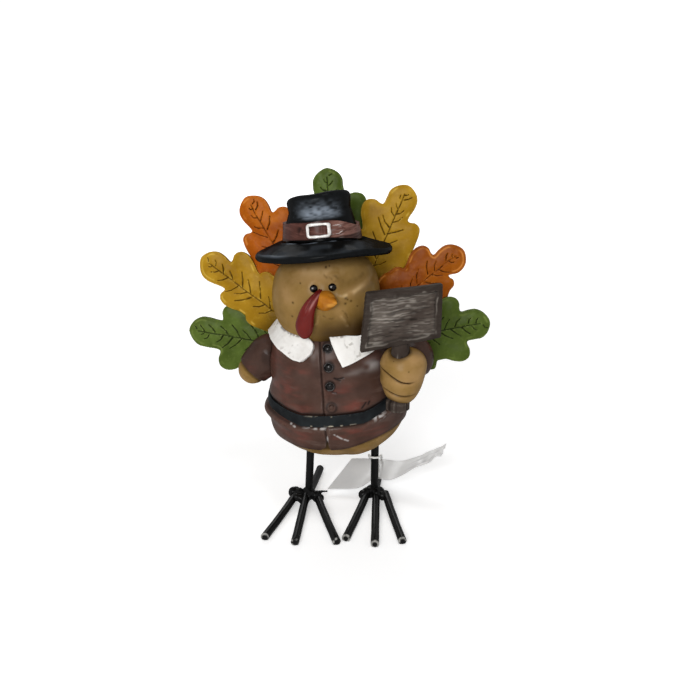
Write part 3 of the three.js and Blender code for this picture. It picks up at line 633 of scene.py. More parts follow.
glint = peak(x, -0.5, 0.35) * fade(down, 0.1, 0.2) * fade(-down, -0.5, -0.36) * (y < 0)
setPoints(snood, co)
swell(snood, 0.12 * noiseAt(co, 4, 7) - 0.35 * furrow)
# a painted highlight streaks its upper front, and it is darker at its edges
settle(bent(snood, path), redPaint, "red_resin", "snood",
       wear=0.5 * glint * patchy(co, 1.5, 10, -0.6, 0.2),
       wash=0.6 * fade(np.abs(x) / 3.8, 0.9, 1.0) * patchy(co, 1, 14, -0.4, 0.3))
print("face done")


# Body and clothes share one barrel, an ellipse below its middle and a fuller curve above, set a bit aside
barrel = {"radius": 26.4, "depth": 0.94, "middle": 41, "rise": 43, "drop": 17.4, "shoulder": 3,
          "belly": 1.85, "neck": (70, 85.4)}
waist = {"belt": 47.4, "beltSag": 5.5, "beltTilt": 2.8, "hem": 34, "hemSag": 3.2, "hemRise": 2.2}


def barrelAside(height):
    return 1.3 * peak(height, 58, 6) + 0.5 * fade(-height, -66, -56) - 1.5 * fade(-height, -52, -34)


def barrelAt(turn, height, grow):
    above = height >= barrel["middle"]
    power = np.where(above, barrel["shoulder"], barrel["belly"])
    level = np.abs(height - barrel["middle"]) / (np.where(above, barrel["rise"], barrel["drop"]) + grow)
    ring = (barrel["radius"] + grow) * np.maximum(1 - level ** power, 0) ** (1 / power)
    x = ring * np.sin(turn) + barrelAside(height)
    return np.stack([x, -ring * np.cos(turn) * barrel["depth"], height + 0 * turn], -1)


def barrelSolid(name, grow, segments, rings):
    piece = roundForm(name, (1, 1, 1), barrel["shoulder"], barrel["belly"], segments, rings)
    co = points(piece)
    wide = barrel["radius"] + grow
    co[:, 2] *= np.where(co[:, 2] < 0, barrel["drop"], barrel["rise"]) + grow
    co[:, 2] += barrel["middle"]
    co[:, 0] = co[:, 0] * wide + barrelAside(co[:, 2])
    co[:, 1] *= wide * barrel["depth"]
    return setPoints(piece, co)


def neckHeight(turn, grow):  # how high the clothes reach before they meet the head
    heights = np.linspace(*barrel["neck"], 220)
    spot = barrelAt(turn[:, None], heights[None, :], grow)
    inside = inHead(spot.reshape(-1, 3), 0.1).reshape(len(turn), -1) < 0
    return heights[np.argmax(inside, axis=1)]


def beltLine(turn):  # the belt and the hem sag under the belly
    sag = waist["beltSag"] * np.tanh(3 * np.maximum(0, 1 - 1.1 * np.cos(turn)))
    return waist["belt"] + sag - waist["beltTilt"] * fade(-np.sin(turn), 0.3, 0.95)


def hemLine(turn):
    sag = waist["hemSag"] * np.tanh(1.5 * (1 - np.cos(turn)))
    return waist["hem"] + sag + waist["hemRise"] * fade(np.sin(turn), 0.1, 0.8)


def turnOf(co):
    return np.arctan2(co[:, 0] - barrelAside(co[:, 2]), -co[:, 1] / barrel["depth"])


def turnAt(u, crowd):  # the turn at a share of the way round, with closer columns at the front
    turn = (2 * u - 1) * pi
    return turn - crowd * np.sin(turn)


def atSides(turn):  # 1 where the figure is broadest
    return fade(np.abs(np.sin(turn)), 0.4, 0.9)


# Cutting shapes keep the pieces clear of each other: how far each is grown from the form it is made of
clear = {"head": 0.3, "jacket": 1.8, "leg": 0.15, "hat": 0.3, "board": 0.15, "post": 0.12, "fist": 0.2,
         "hand": 0.05}
headTool = headForm("head_tool", clear["head"], 72, 40)
jacketTool = barrelSolid("jacket_tool", clear["jacket"], 96, 60)

# Body: the barrel, with a dished seat for the head and two sockets for the leg wires
legShape = {"wire": 1.6, "socketEnd": 0.3, "right": ((-9.2, 1.4, 2), (-8.2, 3.6, 29.6)),
            "left": ((18.2, 4.4, 2), (18.2, 4.4, 32.6))}
toCasting = (Matrix.Scale(1000, 4) @ leaning).inverted()
body = barrelSolid("body_cast", 0, 176, 110)
sockets = []
for side in ("right", "left"):
    low, high = [toCasting @ Vector(end) for end in legShape[side]]
    deep = (high - low).length + legShape["socketEnd"]
    socket = turnedForm("socket_tool", rodProfile(deep, legShape["wire"] + clear["leg"]), 32, 4)
    sockets.append(put(socket, standing(low, high)))
cutAway(body, headTool, *sockets)
co = points(body)
below = hemLine(turnOf(co)) - co[:, 2]
belly = 1.2 * fade(np.sin(turnOf(co)), 0.2, 0.8) * fade(below, -0.4, 1.6)  # fuller where the hem rises
swell(body, 0.12 * noiseAt(co, 5, 11) * fade(-co[:, 2], -60, -50) + belly)
remove(*sockets)
# painted shade: a little darker all over, and most under the jacket's hem
settle(body, tanPaint, "tan_resin", "body", tint=patchy(co, 6, 13, -0.2, 0.6),
       wash=0.12 + 0.75 * fade(-below, -2.2, 0) + 0.25 * patchy(co, 6, 12, 0.1, 0.8))

# Jacket: a shell that blouses over the belt, with a placket line and a split skirt
jacketShape = {
    "out": 1.9, "wall": 1.1, "edge": 0.3, "blouse": 0.8, "skirt": 1.2, "pinch": 0.5, "placket": -2.5,
    "columns": 330, "rows": 138, "buttons": [75.6, 68.5, 61.3, 52.9],
    "patches": [(-17.5, 58, (7, 4.5)), (-13, 51.5, (6, 2.6)), (-14, 66, (6, 2.4)), (4.5, 59, (5, 2.6)),
                (9.5, 42.6, (7, 2.2)), (-14, 41, (8, 2)), (3, 40, (4, 1.6)), (9, 53, (5, 2))],
    "cracks": [[(2.3, 64.2), (4, 63.8), (5.9, 64.1)], [(2.8, 63.9), (4.6, 63.1)],
               [(12, 51.4), (12.6, 52.2), (13.6, 53.4)], [(14.4, 52.6), (14.9, 53.6)],
               [(1.2, 58.9), (2.8, 58.5)]],
    "scratches": [[(0.6, 42.1), (3.1, 39.9), (5.7, 38.4)], [(-16.4, 45.3), (-14.8, 44.4)],
                  [(-2, 41.6), (-2.1, 39)]],
}


def jacketSurface(u, v):
    turn = turnAt(u, 0.5)
    slitX = barrelAt(turn, 36 + 0 * turn, 2)[:, 0] - jacketShape["placket"]
    slit = 4.4 * peak(slitX, 0, 0.6) + 1.3 * peak(slitX, -1.2, 1.3)
    low = hemLine(turn) + slit * (np.cos(turn) > 0)
    height = low + (neckHeight(turn, jacketShape["out"]) - low) * v
    spot = barrelAt(turn, height, jacketShape["out"])
    off = height - beltLine(turn)
    oneSide = 0.7 * fade(-np.sin(turn), 0.4, 0.9)
    grow = jacketShape["blouse"] * peak(off, 4.6, 3.2) - jacketShape["pinch"] * peak(off, 0, 2.4, 4)
    grow += (jacketShape["skirt"] + oneSide) * peak(off, -4, 2.1)
    grow -= oneSide * (peak(off, 6, 3) + fade(-off, 6, 9))
    grow -= 0.5 * atSides(turn) * peak(off, 0, 2.2, 4)  # the belt sinks in at the sides
    grow += 0.3 * noiseAt(spot, 9, 21) + 0.08 * noiseAt(spot * (0.4, 0.4, 1), 2.2, 22)
    across = spot[:, 0] - jacketShape["placket"]
    carved = 0.55 * peak(across, 0, 0.34) - 0.22 * peak(across, 1, 0.7)
    carved += 0.3 * strokes(spot[:, [0, 2]], jacketShape["cracks"], 0.3)
    return barrelAt(turn, height, jacketShape["out"] + grow - carved * (spot[:, 1] < 0))


jacket = sheetForm("jacket_cast", jacketShape, jacketSurface)
co = points(jacket)
x, y, z = co.T
flat = co[:, [0, 2]]
inFront = y < 0
off = z - beltLine(turnOf(co))
grain = noiseAt(co * (0.6, 0.6, 1), 2, 24)
# a sheen painted on the chest and beside the placket
chestSheen = dab(flat, 16.8, 67, (3.4, 2)) + 0.6 * dab(flat, 10.5, 65.6, (4, 1.1))
chestSheen += 0.55 * dab(flat, -4.9, 73.4, (1.4, 3))
chip = dab(flat, 17.6, 46.6, (2.6, 1.3)) * patchy(co, 0.9, 25, -0.2, 0.3)
scratch = strokes(flat, jacketShape["scratches"], 0.26) * patchy(co, 0.8, 26, -0.4, 0.2)
chalk = peak(off, -2.9, 0.4) * patchy(co, 1.3, 27, 0.25, 0.6) * fade(-np.abs(x + 4), -9, -3)
# painted shade just above and below the belt
beltShade = peak(off, 2.7, 0.8) + 0.7 * peak(off, -2.5, 0.45)
toButton = np.min([np.hypot(x - 0.6, z - each) for each in jacketShape["buttons"]], axis=0)
# dark cracks and placket line, and painted shade round the buttons and beside the fist
darkening = [strokes(flat, jacketShape["cracks"], 0.34), 0.75 * peak(x, jacketShape["placket"], 0.45),
        0.8 * peak(toButton, 1.9, 0.5), 0.85 * fade(x, 18.5, 23) * fade(z, 50, 56)]
darkening = inFront * np.max(darkening, axis=0)
hem = 0.4 * fade(hemLine(turnOf(co)) - z, -1.6, 0)
russet = inFront * dabs(flat, jacketShape["patches"]) * fade(grain, -1, 0.5)
settle(jacket, brownPaint, "brown_resin", "jacket", tint=russet + 0.45 * patchy(co, 10, 23, 0, 0.8),
       wear=inFront * (0.34 * chestSheen * fade(grain, -0.7, 0.6) + 0.7 * chip + 0.75 * scratch + 0.6 * chalk),
       wash=np.maximum.reduce([0.95 * beltShade, darkening, hem, 0.3 * patchy(co, 7, 28, 0.35, 0.9)]))

# Belt: a flat strap that sags at the front
beltShape = {"out": 1.5, "wall": 1.4, "width": 4.6, "edge": 0.35, "columns": 380, "rows": 18}


def beltSurface(u, v):
    turn = turnAt(u, 0.4)
    wide = beltShape["width"] * (1 - 0.2 * fade(-np.sin(turn), 0.3, 0.9))
    height = beltLine(turn) + (v - 0.5) * wide + 0.12 * np.sin(turn * 7)
    out = beltShape["out"] + beltShape["wall"] + 0.25 * (1 - (2 * v - 1) ** 2) - 0.5 * atSides(turn)
    return barrelAt(turn, height, out + 0.12 * noiseAt(barrelAt(turn, height, out), 4, 31))


belt = sheetForm("belt_cast", beltShape, beltSurface)
co = points(belt)
off = co[:, 2] - beltLine(turnOf(co))
middle = dab(co[:, [0, 2]], -1, waist["belt"], (7, 9)) * (co[:, 1] < 0)
lower = peak(off, -2, 0.3) * patchy(co, 1.3, 33, 0.2, 0.6)
upper = peak(off, 2, 0.25) * patchy(co, 1.4, 34, 0.2, 0.5) * middle
settle(belt, beltPaint, "black_resin", "belt", wear=0.6 * lower * (0.35 + middle) + 0.7 * upper,
       wash=0.5 * patchy(co, 5, 35, 0.2, 0.8))

# Collar flaps: the one on the figure's right ends in a round lobe, the other in a square corner
collarShape = {"out": 4.1, "wall": 1.7, "edge": 0.5, "end": 96, "back": 76.5, "columns": 170, "rows": 56,
               "right": {"side": -1, "point": 70.4, "corner": 0.6, "arch": 1.2, "jowl": 0,
                         "darkening": (-0.1, -0.02)},
               "left": {"side": 1, "point": 68.5, "corner": 0.2, "arch": 0, "jowl": 2,
                        "darkening": (-0.14, -0.06)}}


def collarFront(name, down):  # angle at which the flap begins, from the neck down to its point
    if name == "right":
        return 11.4 + np.where(down < 0.3, 66, 23) * (down - 0.3) ** 2
    return 3.8 + 8.2 * down


for name in ("right", "left"):
    flap = collarShape[name]

    def collarSurface(u, v):
        soft = peak(u, 0, 0.06) * peak(v, 1, 0.22) * flap["corner"]
        down = v - 0.12 * soft
        begin = collarFront(name, down)
        turn = radians(1) * (begin + (collarShape["end"] - begin) * (u + 0.03 * soft)) * flap["side"]
        high = neckHeight(turn, collarShape["out"]) - flap["jowl"] * fade(u, 0.08, 0.35)
        low = flap["point"] + (collarShape["back"] - flap["point"]) * np.sin(np.clip(u, 0, 1) * pi / 2)
        height = high + (low + flap["arch"] * np.sin(np.clip(u, 0, 1) * pi) - high) * down
        spot = barrelAt(turn, height, collarShape["out"])
        roll = 0.3 * peak(v, 1, 0.14) - 0.35 * peak(v, 0.5, 0.3) * fade(u, 0, 0.2)
        rough = 0.2 * noiseAt(spot, 3.5, 41) + 0.07 * noiseAt(spot, 1.1, 42)
        return barrelAt(turn, height, collarShape["out"] + roll + rough)

    collar = sheetForm(f"collar_{name}_cast", collarShape, collarSurface)
    co = points(collar)
    # darker where it meets the head
    settle(collar, whitePaint, "white_resin", f"collar_{name}",
           wash=0.75 * fade(-inHead(co, 0.1), *flap["darkening"]) * patchy(co, 1.1, 45, -0.3, 0.3),
           wear=0.5 * patchy(co, 0.9, 43, 0.25, 0.5) * patchy(co, 4, 44, 0, 0.5))

# Buttons: a dome in a raised rim, copied down the front, the lowest small and thick with brown paint
buttonShape = {"radius": 1.75, "depth": 1.3, "rim": 0.3, "dish": 0.3, "groove": 0.14, "out": 2.2,
               "turn": 1.3, "dome": [(0.34, 0.86), (0.24, 0.74), (0.12, 0.55)], "lastScale": 0.8,
               "topShift": (0, -0.5, -0.2)}
button = start("button_master", "cylinder", vertices=48, radius=buttonShape["radius"],
               depth=buttonShape["depth"])
editFaces(button, lambda normal: normal.z > 0.9)
bpy.ops.mesh.inset(thickness=buttonShape["rim"])
bpy.ops.transform.translate(value=(0, 0, -buttonShape["dish"]))
bpy.ops.mesh.inset(thickness=buttonShape["groove"])
for rise, share in buttonShape["dome"]:
    bpy.ops.mesh.extrude_region_move(TRANSFORM_OT_translate={"value": (0, 0, rise)})
    bpy.ops.transform.resize(value=(share, share, 1))
bevelled(button, 0.12, 2, 40)
applied(button, "SUBSURF", levels=2, render_levels=2)
co = points(button)
ring = np.hypot(co[:, 0], co[:, 1])
rim = peak(ring, 1.45, 0.15) * fade(co[:, 2], 0.4, 0.6) * patchy(co, 1.2, 46, -0.5, 0.1)
for i, height in enumerate(jacketShape["buttons"]):
    copy = copyOf(button, f"button_{i + 1}_cast")
    turn = np.array([radians(buttonShape["turn"])])
    foot, above = [barrelAt(turn, np.array([height + up]), buttonShape["out"])[0] for up in (0, 1)]
    slope = np.degrees(atan2(above[1] - foot[1], above[2] - foot[2]))
    foot[0] -= barrelAside(height)
    if i == 0:
        foot += buttonShape["topShift"]  # the top one stands clear of the chin
    last = i == len(jacketShape["buttons"]) - 1
    put(copy, seat(foot, 90 - slope) @ Matrix.Scale(buttonShape["lastScale"] if last else 1, 4))
    settle(copy, brownPaint if last else metalPaint, "silver_paint", f"button_{i + 1}", rounds=6,
           wear=0 * rim if last else rim, wash=peak(ring, 1.25, 0.12))
remove(button)
print("clothes done")


# Hat: a drooping brim with a rolled edge and a waisted crown whose top slopes to the back and one side
hatShape = {"base": (0, -5, 110), "back": -6, "side": -1.5, "brim": 24.9, "edge": 1.5, "rise": 4.5,
            "crown": 14.2, "crownTop": 12.3, "height": 21, "corner": 2.4, "topFlat": 10, "waist": 0.9,
            "waistAt": 15.3, "band": 12, "pitch": 0.14, "slant": 0.07}
hatSeat = seat(hatShape["base"], hatShape["back"], hatShape["side"])


def crownAt(z):
    share = (z - hatShape["rise"]) / (hatShape["height"] - hatShape["corner"] - hatShape["rise"])
    return hatShape["crown"] + (hatShape["crownTop"] - hatShape["crown"]) * share


def hatProfile(grow):
    brim, edge, corner = hatShape["brim"], hatShape["edge"] + grow, hatShape["corner"] + grow
    band, waistAt, top = hatShape["band"], hatShape["waistAt"], hatShape["height"] - hatShape["corner"]
    under = [(0, 1.1), (9, 0.7), (13.5, -0.4), (16, -1.4)]
    over = [(21.5, 2.9), (18.2, 4.3), (17.2, 4.75), (16, 4.5), (crownAt(hatShape["rise"]) + grow, 4.4)]
    line = [(r, z - grow) for r, z in under] + [(brim, -edge)]
    line += [(brim + edge * cos(a), edge * sin(a)) for a in np.linspace(-pi / 2, pi / 2, 9)[1:]]
    line += [(r, z + grow) for r, z in over]
    line += [(crownAt(band) + grow, band), (crownAt(waistAt) - hatShape["waist"] + grow, waistAt)]
    turn = np.linspace(0, pi / 2, 6)
    line += [(hatShape["topFlat"] + corner * cos(a), top + corner * sin(a)) for a in turn]
    return line + [(5, 20.3 + grow), (0, 20.1 + grow)]


def hatSag(turn):  # brim and band hang lower at the sides, most of all at one
    return 2.2 * fade(turn, 0.3, 1.5) * (1 - 0.636 * fade(turn, 2.2, pi)) + 0.8 * fade(-turn, 0.6, 1.5)


def hatForm(name, grow, steps, step):
    piece = turnedForm(name, hatProfile(grow), steps, step)
    co = points(piece)
    x, y, z = co.T
    share = np.maximum(z - hatShape["band"], 0) / (hatShape["height"] - hatShape["band"])
    co[:, 2] += share * (hatShape["slant"] * x - hatShape["pitch"] * y)
    co[:, 2] -= hatSag(np.arctan2(x, -y)) * fade(np.hypot(x, y), 6, 12) * fade(-z, -17, -11)
    return setPoints(piece, co)


hatTool = put(hatForm("hat_tool", clear["hat"], 64, 4), hatSeat)
hat = softened(hatForm("hat_cast", 0, 240, 0.4), 5)
co = points(hat)
x, y, z = co.T
ring = np.hypot(x, y)
turn = np.arctan2(x, -y)
co[:, 2] += fade(ring, 16, 26) * (0.15 * np.sin(3 * turn) + 0.5 * peak(turn, 0.8, 0.6))  # a wavy brim
co[:, 2] -= 0.45 * fade(z, 17, 20) * peak(x, -0.5, 5) * fade(-y, 0, 8)  # a dip in the top
setPoints(hat, co)
lump = 0.16 * noiseAt(co, 6, 51) + 0.04 * noiseAt(co * (0.6, 0.6, 1), 1.4, 52)
swell(hat, lump * fade(ring + 0.5 * z, 8, 14))
# painted sheen and glints on the crown front, a painted highlight along the brim's ridge and front edge, and
# a faint painted sheen across the brim
onCrown = fade(z, 12.2, 13.4) * fade(-z, -21.4, -19.4) * fade(-y, 5, 9) * peak(z, 14.8, 3.2)
soft = fade(0.6 * noiseAt(co, 2.2, 54) + 0.75 * noiseAt(co * (0.4, 0.4, 1), 0.6, 53), -1.1, 0.8)
sheen = onCrown * soft * peak(x, 1, 7.2, 4)
glints = onCrown * patchy(co * (0.5, 0.5, 1.4), 0.7, 56, 0.6, 0.8) * peak(x, 0.5, 6)
brushedAndSheen = 0.07 * fade(ring, 17.5, 20) * fade(z, 0.6, 1.6) * fade(-y, 2, 12)
brushedAndSheen *= patchy(co * (0.4, 0.4, 1), 1.6, 50, -0.4, 0.6)
ridgeHighlight = peak(ring, 17.1, 0.4) * fade(z, 3.8, 4.4) * fade(-y, 6, 12) * patchy(co, 2.4, 55, -0.4, 0.4)
rimLight = peak(z, 1.3, 0.5) * fade(ring, 24.4, 25.2) * fade(-x, 8, 16) * fade(-y, 0, 8)
settle(put(hat, hatSeat), blackPaint, "black_resin", "hat",
       wear=0.85 * sheen + 0.4 * glints + 0.8 * ridgeHighlight + 0.25 * rimLight + brushedAndSheen)

# Hat band, pressed a little unevenly round the crown, with the pointed strap end that leaves the buckle
bandShape = {"low": 5.6, "high": 12.0, "wall": 1.2, "edge": 0.3, "out": 1.3, "middle": 8.8, "strapTip": 10.6,
             "strapHalf": 1.6, "columns": 300, "rows": 40}


def inStrap(x, z):  # 1 on the strap end, 0 off it
    half = bandShape["strapHalf"] * np.minimum(1, (bandShape["strapTip"] - x) / 2.4)
    return fade(half - np.abs(z - bandShape["middle"] + 0.3), -0.1, 0.15) * fade(x, 2, 3)


def bandSurface(u, v):
    turn = turnAt(u, 0.5)
    tall = bandShape["high"] - bandShape["low"] - 1.1 * fade(np.sin(turn), 0.5, 1)
    z = bandShape["low"] + tall * v + 0.18 * np.sin(3 * turn + 1) + 0.1 * np.sin(8 * turn)
    spot = np.stack([20 * np.sin(turn), 20 * np.cos(turn), z], 1)
    ring = crownAt(z) + bandShape["out"] + 0.14 * noiseAt(spot, 4, 57)
    ring += 0.4 * inStrap(ring * np.sin(turn), z) * (np.cos(turn) > 0)
    return np.stack([ring * np.sin(turn), -ring * np.cos(turn), z - hatSag(turn)], -1)


band = sheetForm("hat_band_cast", bandShape, bandSurface)
co = points(band)
x, y, z = co.T
inFront = y < 0
strap = inStrap(x, z)
rim = 4 * strap * (1 - strap) * fade(x, 4.4, 5) * patchy(co, 1.1, 59, -0.3, 0.2)
dry = fade(x, 4.6, 5.6) * fade(-x, -12, -7) * patchy(co * (0.3, 0.3, 2), 0.8, 58, 0.2, 0.7)
smudge = dab(co[:, [0, 2]], -6.2, 9.2, (1.2, 2.4)) * patchy(co, 1, 60, -0.5, 0.2)
settle(put(band, hatSeat), bandPaint, "brown_resin", "hat_band",
       wear=inFront * (0.95 * rim + 0.2 * dry), tint=fade(x, 4, 7) * inFront,
       wash=0.85 * smudge * inFront + 0.6 * fade(np.abs(z - bandShape["middle"]), 2.7, 3.3))

# Buckle: a thick, uneven frame bent round the band
buckleShape = {"width": 9.2, "height": 5.6, "corner": 1.3, "frame": 1.05, "narrow": 0.95, "wall": 1.6,
               "edge": 0.36, "front": 16.8, "middle": 8.9, "x": 0.9}
buckle = start("hat_buckle_cast", "plane", size=1)
editFaces(buckle)
bpy.ops.transform.resize(value=(buckleShape["width"], buckleShape["height"], 1))
bpy.ops.mesh.bevel(offset=buckleShape["corner"], segments=3, affect="VERTICES")
bpy.ops.mesh.select_all(action="SELECT")
bpy.ops.mesh.inset(thickness=buckleShape["frame"])
bpy.ops.transform.resize(value=(buckleShape["narrow"], 1, 1))
bpy.ops.mesh.delete(type="FACE")
bpy.ops.mesh.select_all(action="SELECT")
bpy.ops.mesh.extrude_region_move(TRANSFORM_OT_translate={"value": (0, 0, buckleShape["wall"])})
bevelled(merged(buckle), buckleShape["edge"], 2, 60)
applied(buckle, "SUBSURF", levels=3, render_levels=3)
swell(buckle, 0.24 * noiseAt(points(buckle), 1.5, 61))
x, y, z = points(buckle).T
bow = buckleShape["front"] - np.sqrt(buckleShape["front"] ** 2 - x ** 2)
depth = -buckleShape["front"] + buckleShape["wall"] - z + bow
setPoints(buckle, np.stack([x + buckleShape["x"], depth, y + buckleShape["middle"]], 1))
settle(merged(put(buckle, hatSeat)), silverPaint, "silver_paint", "hat_buckle", rounds=6)
print("hat done")


# Sign board: weathered, slightly raised along its border, with one end lower than the other
boardShape = {"centre": (29.8, -25.4, 87.6), "width": 29.8, "tall": 22.6, "short": 20.6, "wall": 3.2,
              "yaw": 14, "roll": -2, "lean": (2.4, 1.3), "border": 2.3, "sink": 0.5, "edge": 0.6,
              "grain": 0.24}
boardSeat = seat(boardShape["centre"], 0, boardShape["roll"], boardShape["yaw"])


def boardBlock(name, grow):
    piece = start(name, "cube", size=1)
    editFaces(piece)
    bpy.ops.transform.resize(value=[boardShape[each] + 2 * grow for each in ("width", "wall", "tall")])
    editFaces(piece, lambda normal: normal.x > 0.9)
    bpy.ops.transform.resize(value=(1, 1, boardShape["short"] / boardShape["tall"]))
    pick(piece)
    co = points(piece)
    co[:, 0] += np.where(co[:, 0] < 0, *boardShape["lean"]) * np.sign(co[:, 2])
    return setPoints(piece, co)


boardTool = put(boardBlock("board_tool", clear["board"]), boardSeat)
board = clay(bevelled(boardBlock("sign_board_cast", 0), boardShape["edge"], 3, 60), boardShape["grain"], 3)
co = points(board)
x, y, z = co.T
along = x / boardShape["width"] + 0.5
half = 0.5 * (boardShape["tall"] - (boardShape["tall"] - boardShape["short"]) * along)
lean = boardShape["lean"][0] + (boardShape["lean"][1] - boardShape["lean"][0]) * along
inset = np.minimum(0.5 * boardShape["width"] - np.abs(x - lean * z / half), half - np.abs(z))
inset -= boardShape["border"] + 0.45 * noiseAt(co * (1, 0, 1), 3.2, 71) + 0.2 * noiseAt(co, 1.1, 77)
onFace = fade(-y, 0.6, 1.2)
inPanel = fade(inset, -0.3, 0.5) * onFace
tilt = z + 0.06 * x + 0.6 * noiseAt(co * (0.5, 0, 0.5), 3.5, 78)  # the grain wanders a little
grain = np.stack([0.1 * x, tilt, 0.3 * y], 1)
rough = 0.2 * noiseAt(grain, 0.55, 72) + 0.12 * noiseAt(grain * (2.6, 1, 1), 0.42, 73)
rough += 0.1 * noiseAt(co, 5, 74)
lift = rough * (0.5 + 0.7 * inPanel) - boardShape["sink"] * inPanel
swell(board, lift + 0.2 * onFace * peak(inset, 0, 0.8))
lines = fade(noiseAt(grain * (1.8, 1, 1), 0.4, 80) + 0.6 * noiseAt(grain, 0.75, 84), -0.1, 0.8)
brushedAndSheen = patchy(co * (0.4, 1, 1), 3.4, 75, -1, 0.5) * (0.16 + 0.84 * lines)
lip = peak(inset, -0.3, 0.28) * patchy(co, 1.8, 76, -0.1, 0.5) * onFace
pale = 0.26 * dab(co[:, [0, 2]], -8, 1, (6, 5)) * (0.4 + 0.6 * lines)  # worn most at one side
sunk = inPanel * np.maximum(0.75 * fade(-rough, 0.04, 0.2), 0.8 * fade(-inset, -1.1, -0.2))
settle(put(board, boardSeat), woodPaint, "wood_resin", "sign_board", rounds=8,
       wear=inPanel * (0.4 * brushedAndSheen + pale) + 0.36 * lip + 0.04 * brushedAndSheen,
       wash=np.maximum(sunk, 0.42 * onFace * (1 - inPanel)))

# Sign post: a ridged rod with a broader foot, let into the back of the board
postShape = {"low": (25.4, -22.5, 49.4), "high": (30.4, -22.5, 94), "radius": 3.4, "flare": 1.2, "edge": 0.6,
             "bark": 4.2}
postLow, postHigh = Vector(postShape["low"]), Vector(postShape["high"])
postLength = (postHigh - postLow).length
postSeat = standing(postLow, postHigh)
postTool = turnedForm("post_tool", rodProfile(postLength, postShape["radius"] + clear["post"]), 40, 6)
put(postTool, postSeat)
post = turnedForm("sign_post_cast", rodProfile(postLength, postShape["radius"], postShape["edge"]), 80, 0.45)
co = points(post)
co[:, :2] *= (1 + postShape["flare"] / postShape["radius"] * fade(-co[:, 2], -5.2, -3.2))[:, None]
setPoints(post, co)
x, y, z = co.T
turn = np.arctan2(y, x)
bark = np.stack([postShape["bark"] * np.cos(turn), postShape["bark"] * np.sin(turn), 0.1 * z], 1)
ridges = noiseAt(bark, 0.9, 81)
swell(post, (0.26 * ridges + 0.1 * noiseAt(co, 2.5, 82)) * fade(np.hypot(x, y), 1.5, 2.8))
setValue(post, "wear", 0.35 * fade(ridges, 0.3, 0.8) * patchy(co, 4, 83, -0.4, 0.6))
setValue(post, "wash", 0.7 * fade(-ridges, 0.2, 0.7) + 0.6 * fade(-np.abs(z - 7), -2, 0))
post = mainBody(cutAway(put(post, postSeat), boardTool))
settle(post, woodPaint, "wood_resin", "sign_post", rounds=6)

# Left hand: a fist broad at the top that closes round the post, fingers parted by two curved grooves
fistShape = {"centre": (28.1, -20, 62.4), "radii": (8.4, 8.4, 11), "power": 2.8, "taper": 0.2, "turn": 10,
             "grain": 0.26, "knuckles": (66.2, 59.4),
             "grooves": [[(19.5, 67.4), (22.5, 65.8), (25.1, 64.1), (28.1, 62.4), (31.5, 61.7),
                          (34.5, 62.0)],
                         [(19.5, 59.6), (22, 58.8), (24, 58), (26.6, 56.9), (30.7, 56.2), (33, 56.4)]],
             "specks": [(22.1, 66.2, 0.35), (29.2, 62.2, 0.3), (22.4, 59, 0.3), (25.6, 70.4, 0.3),
                        (31, 66.5, 0.25)]}


def fistForm(name, grow, segments, rings):
    radii = np.array(fistShape["radii"]) + grow
    piece = roundForm(name, radii, fistShape["power"], fistShape["power"], segments, rings)
    co = points(piece)
    co[:, 0] *= 1 + fistShape["taper"] * co[:, 2] / fistShape["radii"][2]
    return put(setPoints(piece, co), seat(fistShape["centre"], 0, fistShape["turn"]))


fistTool = fistForm("fist_tool", clear["fist"], 48, 28)
fist = mainBody(cutAway(fistForm("hand_left_cast", 0, 96, 60), postTool, boardTool, jacketTool))
clay(fist, fistShape["grain"], 7)
co = points(fist)
x, y, z = co.T
flat = co[:, [0, 2]]
toFront = fade(-y, 18, 22)
carve = strokes(flat, [curveThrough(line, count=40) for line in fistShape["grooves"]], 0.4)
carve *= toFront * fade(-x, -34.5, -30)
knuckle = sum(peak(z - each - 0.28 * (28 - x), 0, 2.2) for each in fistShape["knuckles"]) * toFront
swell(fist, 0.14 * noiseAt(co, 4, 91) + 0.4 * knuckle * fade(-x, -34, -29) - 0.6 * carve)
axis = np.array((postHigh - postLow).normalized())
nearPost = np.linalg.norm(np.cross(co - np.array(postLow), axis), axis=1)
settle(fist, tanPaint, "tan_resin", "hand_left", rounds=10,
       wash=np.maximum.reduce([0.85 * carve * patchy(co, 1.6, 92, -0.9, -0.1),
                               0.9 * dabs(flat, fistShape["specks"]) * toFront,
                               0.8 * fade(-nearPost, -5.2, -3.6), 0.35 * fade(-x, -22, -19)]),
       tint=toFront * (0.6 + 0.4 * patchy(co, 5, 93, -0.5, 0.5)))

# Sleeves: the right one is cut square at the cuff with a round hand in it, the left one goes behind the fist
sleeveShape = {"top": (-20.4, -1, 72.4), "cuff": (-33.2, -2, 61), "radius": 8, "cuffRadius": 6.8,
               "grain": 0.3, "hand": (5.8, 5.6, 5.9), "handPower": 2.2,
               "bend": [(19, 0, 70), (29, -3, 66), (33, -14, 61)], "bendRadius": (8, 9.2)}
top, cuff = Vector(sleeveShape["top"]), Vector(sleeveShape["cuff"])
armDrop = np.degrees(atan2(top.x - cuff.x, top.z - cuff.z))


def handForm(name, grow, segments, rings):
    radii = np.array(sleeveShape["hand"]) + grow
    piece = roundForm(name, radii, sleeveShape["handPower"], sleeveShape["handPower"], segments, rings)
    return put(piece, seat(cuff, 0, armDrop))


